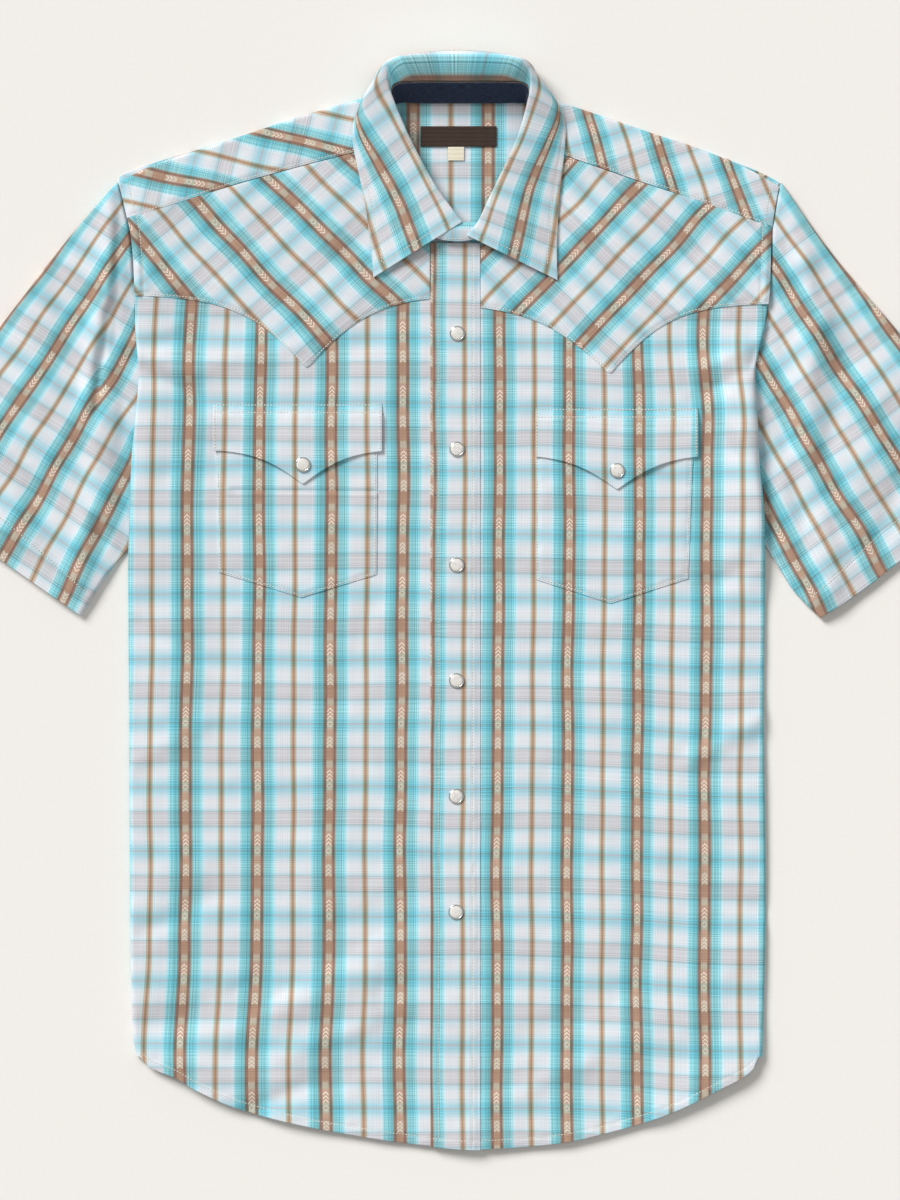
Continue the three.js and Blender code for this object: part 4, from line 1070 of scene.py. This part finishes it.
def collarSections():
    rows = np.array(collarRows, float)
    seam, join, roll, edge, back = rows[:, 0:2], rows[:, 2:4], rows[:, 4:6], rows[:, 6:8], rows[:, 8]
    height = {name: lerp(*collar[name], back) for name in ("seam", "join", "inner", "crest")}
    outward = (edge - roll) / np.hypot(*(edge - roll).T)[:, None]
    lying = frontZ(edge[:, 0], np.minimum(edge[:, 1], 360)) + collar["overYoke"]
    edgeZ = lerp(lying, collar["backEdgeZ"], smoothstep(back, 0.56, 0.95))
    bulging = lerp(height["crest"], edgeZ, 0.5) + collar["bulge"]
    middleZ = lerp(bulging, collar["backMiddleZ"], smoothstep(back, 0.5, 1))
    points = {
        "seam": (seam, height["seam"]),
        "join": (join, height["join"]),
        "inner": (lerp(roll, lerp(join, roll, 0.5), back[:, None]), height["inner"]),
        "crest": (roll + outward * (collar["crestOut"] * (1 - back))[:, None], height["crest"]),
        "middle": (lerp(roll, edge, lerp(0.5, 1.15, back)[:, None]), middleZ),
        "edge": (edge, edgeZ),
    }
    return {name: np.column_stack(parts) for name, parts in points.items()}


sections = collarSections()
backShare = np.array([row[8] for row in collarRows])


def collarShape(s, t):
    names = ("join", "inner", "crest", "middle", "edge")
    controls = np.stack([throughPoints(sections[name], s) for name in names])
    point = throughPoints(controls, t)
    back = np.interp(s * (len(backShare) - 1), np.arange(len(backShare)), backShare)
    frontLength = collar["leafFront"] + collar["leafPoint"] * np.abs(2 * s - 1) ** 6
    crestU = lerp(-frontLength / 2, 1 - collar["leafBack"], back)
    onLeaf = np.clip(2 * t - 1, 0, 1)
    inside = np.clip(1 - 2 * t, 0, 1)
    u = crestU + onLeaf * lerp(frontLength, collar["leafBack"], back)
    u = u - inside * lerp(collar["insideFront"], collar["insideBack"], back)
    v = (0.5 - s) * collar["around"]
    ends = np.minimum(s, 1 - s) * 330
    edge = np.minimum((1 - t) * 110, ends)
    dent = 0.3 * bell(edge - 6, 1.0) * (t > 0.55)
    x, y, z = point.T
    wave = (pucker(x, y, edge - 5, 6, 0.3) + rumple(x, y, 14, 34, 0.5)) * onLeaf
    return x, y, z - dent + wave * smoothstep(edge, 0, 10), u, v


piece = clothSheet(
    "collar_cloth", (190, 48), collarShape, cottonPlaid, 1.5,
    spread=(lambda s: nearBoth(s, 0.06, 0.03), lambda t: 1 - nearEdge(1 - t ** 0.95, 0.2, 0.1)),
)
declare(piece, "collar")
leafRow = 6 / 110
sewOn("collar_stitches", collarShape, [
    (places(0.02, 0.98, 400), level(1 - leafRow, 400)), (level(0.018), places(0.56, 0.94)),
    (level(0.982), places(0.56, 0.94)),
], 1.5)


def standShape(low, high, inward):
    inside = np.array([5, 340, 40])

    def shape(s, t):
        ring = lerp(low, high, s)
        seam, join = throughPoints(sections["seam"], ring), throughPoints(sections["join"], ring)
        point = lerp(seam, join, (t * 0.93)[:, None])
        step = throughPoints(sections["join"], ring + 0.004) - throughPoints(sections["join"], ring - 0.004)
        normal = np.cross(step, join - seam)
        normal = normal / np.linalg.norm(normal, axis=1)[:, None]
        facing = np.sign(np.sum(normal * (inside - point), axis=1))[:, None]
        point = point + normal * facing * inward
        return point[:, 0], point[:, 1], point[:, 2], 36 + t * 20, ring * 420

    return shape


piece = clothSheet("collar_stand_cloth", (140, 8), standShape(0, 1, 0), cottonPlaid)
declare(piece, "collar_stand")


standEnd = {"x": (-12, 21), "lowY": 272.6, "highY": 286.6, "z": 10.2}


def standEndShape(s, t):  # the stand's buttoned-over end, between the two leaves
    x = lerp(*standEnd["x"], s)
    low = standEnd["lowY"] + 2.2 * ((x - 3) / 14) ** 2
    y = lerp(low, standEnd["highY"] + 0.8 * s, t)
    z = standEnd["z"] + 2.2 * np.sin(t * 2.4) + 0.5 * np.sin(s * 5)
    return x, y, z, 30 + (y - 272), x


piece = clothSheet("stand_end_cloth", (40, 24), standEndShape, cottonPlaid, 1.0)
declare(piece, "collar_stand")
sewOn("stand_end_stitches", standEndShape, [(places(0.04, 0.96), level(0.12))], 1.0)
piece = clothSheet("stand_band_cloth", (90, 8), standShape(8 / 30, 22 / 30, 1.3), navyChambray)
declare(piece, "stand_band")

lining = {"rightX": -230, "leftX": 229, "bottomY": 221, "inset": 9, "neckY": 380, "z": 2.0}


def liningShape(s, t):
    x = lerp(lining["rightX"], lining["leftX"], s)
    y = lerp(lining["bottomY"], np.minimum(ridgeY(x) - lining["inset"], lining["neckY"]), t)
    soft = rumple(x, y, 21, 40, 0.5) * smoothstep(np.abs(x - 5), 60, 30)
    return (x, y, lining["z"] + np.maximum(soft, -0.3), *straightCut("lining", x, y))


piece = clothSheet("yoke_lining_cloth", (110, 40), liningShape, cottonPlaid)
declare(piece, "yoke_lining")

patches = {  # woven, sewn to the inner yoke
    "neck_label": {"x": (-24.3, 33.5), "y": (345, 360.5), "look": labelTaffeta, "slot": "label"},
    "size_tab": {"x": (-3.5, 8.8), "y": (334.5, 344.8), "look": tabTape, "slot": "tab"},
}


def patchShape(size):
    def shape(s, t):
        x, y = lerp(*size["x"], s), lerp(*size["y"], t)
        bow = 0.35 * bell((s - 0.5) * 2, 0.8) + rumple(x, y, 31, 14, 0.2)
        return x, y, lining["z"] + 1.25 + bow, x, y

    return shape


for name, size in patches.items():
    shape = patchShape(size)
    piece = clothSheet(f"{name}_tape", (48, 16), shape, size["look"], 0.5)
    wide, tall = size["x"][1] - size["x"][0], size["y"][1] - size["y"][0]
    declare(piece, name)


back = {"seamY": 214.7, "inFromSide": 29.2, "lowestY": -400, "underarmY": 87}


def backShape(s, t):
    def across(y):
        atArmhole = smoothstep(y, 45, 78)
        armY = np.maximum(y, back["underarmY"])
        right = lerp(sideX["right"](y) + back["inFromSide"], armholeX["right"](armY) + armholeGap, atArmhole)
        left = lerp(sideX["left"](y) - back["inFromSide"], armholeX["left"](armY) - armholeGap, atArmhole)
        return lerp(right, left, s)

    x = across(lerp(back["lowestY"], back["seamY"], t))
    y = lerp(hemY(x) + backHemInset, back["seamY"], t)
    x = across(y)
    return (x, y, level(layers["under"], len(s)), *straightCut("back", x, y))


piece = clothSheet("back_panel_cloth", (80, 120), backShape, cottonPlaid, 1.0, under=True)
declare(piece, "back_panel")
print("collar, neck and back ready")

# Snaps: a plated ring pressed round a pearl cap
snap = {
    "count": 6, "firstY": 203, "pitch": 87.8, "topX": 3.6, "bottomX": 2.6, "steps": 40,
    "ring": [
        (4.7, 0.3), (5.5, 0.0), (5.8, 0.25), (5.8, 1.0), (5.6, 1.45), (5.25, 1.72), (4.95, 1.7), (4.75, 1.45),
    ],
    "pearl": [
        (0, 0.5), (4.75, 0.5), (4.8, 1.3), (4.55, 1.55), (3.9, 1.78), (2.6, 1.98), (1.2, 2.06), (0, 2.08),
    ],
}
pocketSnaps = {"right": (-113.5, 103.5), "left": (125, 99)}


def spinProfile(name, profile, closed, place, look):
    mesh = bmesh.new()
    verts = [mesh.verts.new((radius * mm, 0, z * mm)) for radius, z in profile]
    pairs = list(zip(verts, verts[1:])) + ([(verts[-1], verts[0])] if closed else [])
    edges = [mesh.edges.new(pair) for pair in pairs]
    bmesh.ops.spin(
        mesh, geom=verts + edges, axis=(0, 0, 1), cent=(0, 0, 0), angle=2 * math.pi,
        steps=snap["steps"], use_merge=True,
    )
    bmesh.ops.remove_doubles(mesh, verts=mesh.verts, dist=1e-6)
    bmesh.ops.recalc_face_normals(mesh, faces=mesh.faces)
    bmesh.ops.translate(mesh, verts=mesh.verts, vec=Vector(place) * mm)
    piece = finishPiece(name, mesh, look)
    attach(piece, "root")
    return piece


def addSnap(name, x, y, z):
    ring = spinProfile(f"{name}_rim", snap["ring"], True, (x, y, z), nickel)
    cap = spinProfile(f"{name}_cap", snap["pearl"], False, (x, y, z), pearl)
    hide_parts(f"{name}_ring")
    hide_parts(f"{name}_pearl")


def heightAt(shape, x, y):  # the place on a piece nearest to a point seen from above
    s, t = [part.ravel() for part in np.meshgrid(np.linspace(0, 1, 200), np.linspace(0, 1, 600))]
    px, py, pz, _, _ = shape(s, t)
    return float(np.broadcast_to(pz, len(s))[np.argmin((px - x) ** 2 + (py - y) ** 2)])


for k in range(snap["count"]):
    x = lerp(snap["topX"], snap["bottomX"], k / (snap["count"] - 1))
    y = snap["firstY"] - k * snap["pitch"]
    addSnap(f"snap_{k + 1}", x, y, heightAt(placketShape, x, y) + 0.3)
for side, (x, y) in pocketSnaps.items():
    addSnap(f"pocket_snap_{side}", x, y, heightAt(flapShape(side), x, y) + 0.3)
print("snaps ready")

# Floor, light and camera
studio = {
    "middle": (-0.0019, 0.00076), "frameHeight": 0.912, "distance": 4.0,
    "key": {"strength": 3.2, "spread": 26, "place": (-1.5, 1.65, 1.6)},
    "fill": {"strength": 0.35, "spread": 70, "place": (0.9, -0.2, 2.2)},
    "skyStrength": 0.315,
}
bpy.ops.mesh.primitive_plane_add(size=6)
floor = bpy.context.object
floor.name = "floor"
floor.data.materials.append(backdropPaper("backdropPaper"))

for name in ("key", "fill"):
    setup = studio[name]
    light = bpy.data.lights.new(f"{name}Light", "SUN")
    light.energy = setup["strength"]
    light.angle = math.radians(setup["spread"])
    lamp = bpy.data.objects.new(f"{name}Light", light)
    bpy.context.scene.collection.objects.link(lamp)
    lamp.location = setup["place"]
    lamp.rotation_euler = (-Vector(setup["place"])).to_track_quat("-Z", "Y").to_euler()
sky = bpy.data.worlds.new("studioSky")
bpy.context.scene.world = sky
sky.use_nodes = True
sky.node_tree.nodes["Background"].inputs[0].default_value = linear("#FFFDFA")
sky.node_tree.nodes["Background"].inputs[1].default_value = studio["skyStrength"]

lens = bpy.data.cameras.new("camera")
lens.sensor_fit = "VERTICAL"
lens.sensor_height = 24
lens.lens = lens.sensor_height * studio["distance"] / studio["frameHeight"]
camera = bpy.data.objects.new("camera", lens)
bpy.context.scene.collection.objects.link(camera)
camera.location = (*studio["middle"], studio["distance"])
bpy.context.scene.camera = camera
bpy.context.scene.view_settings.view_transform = "Standard"
print("stage ready")
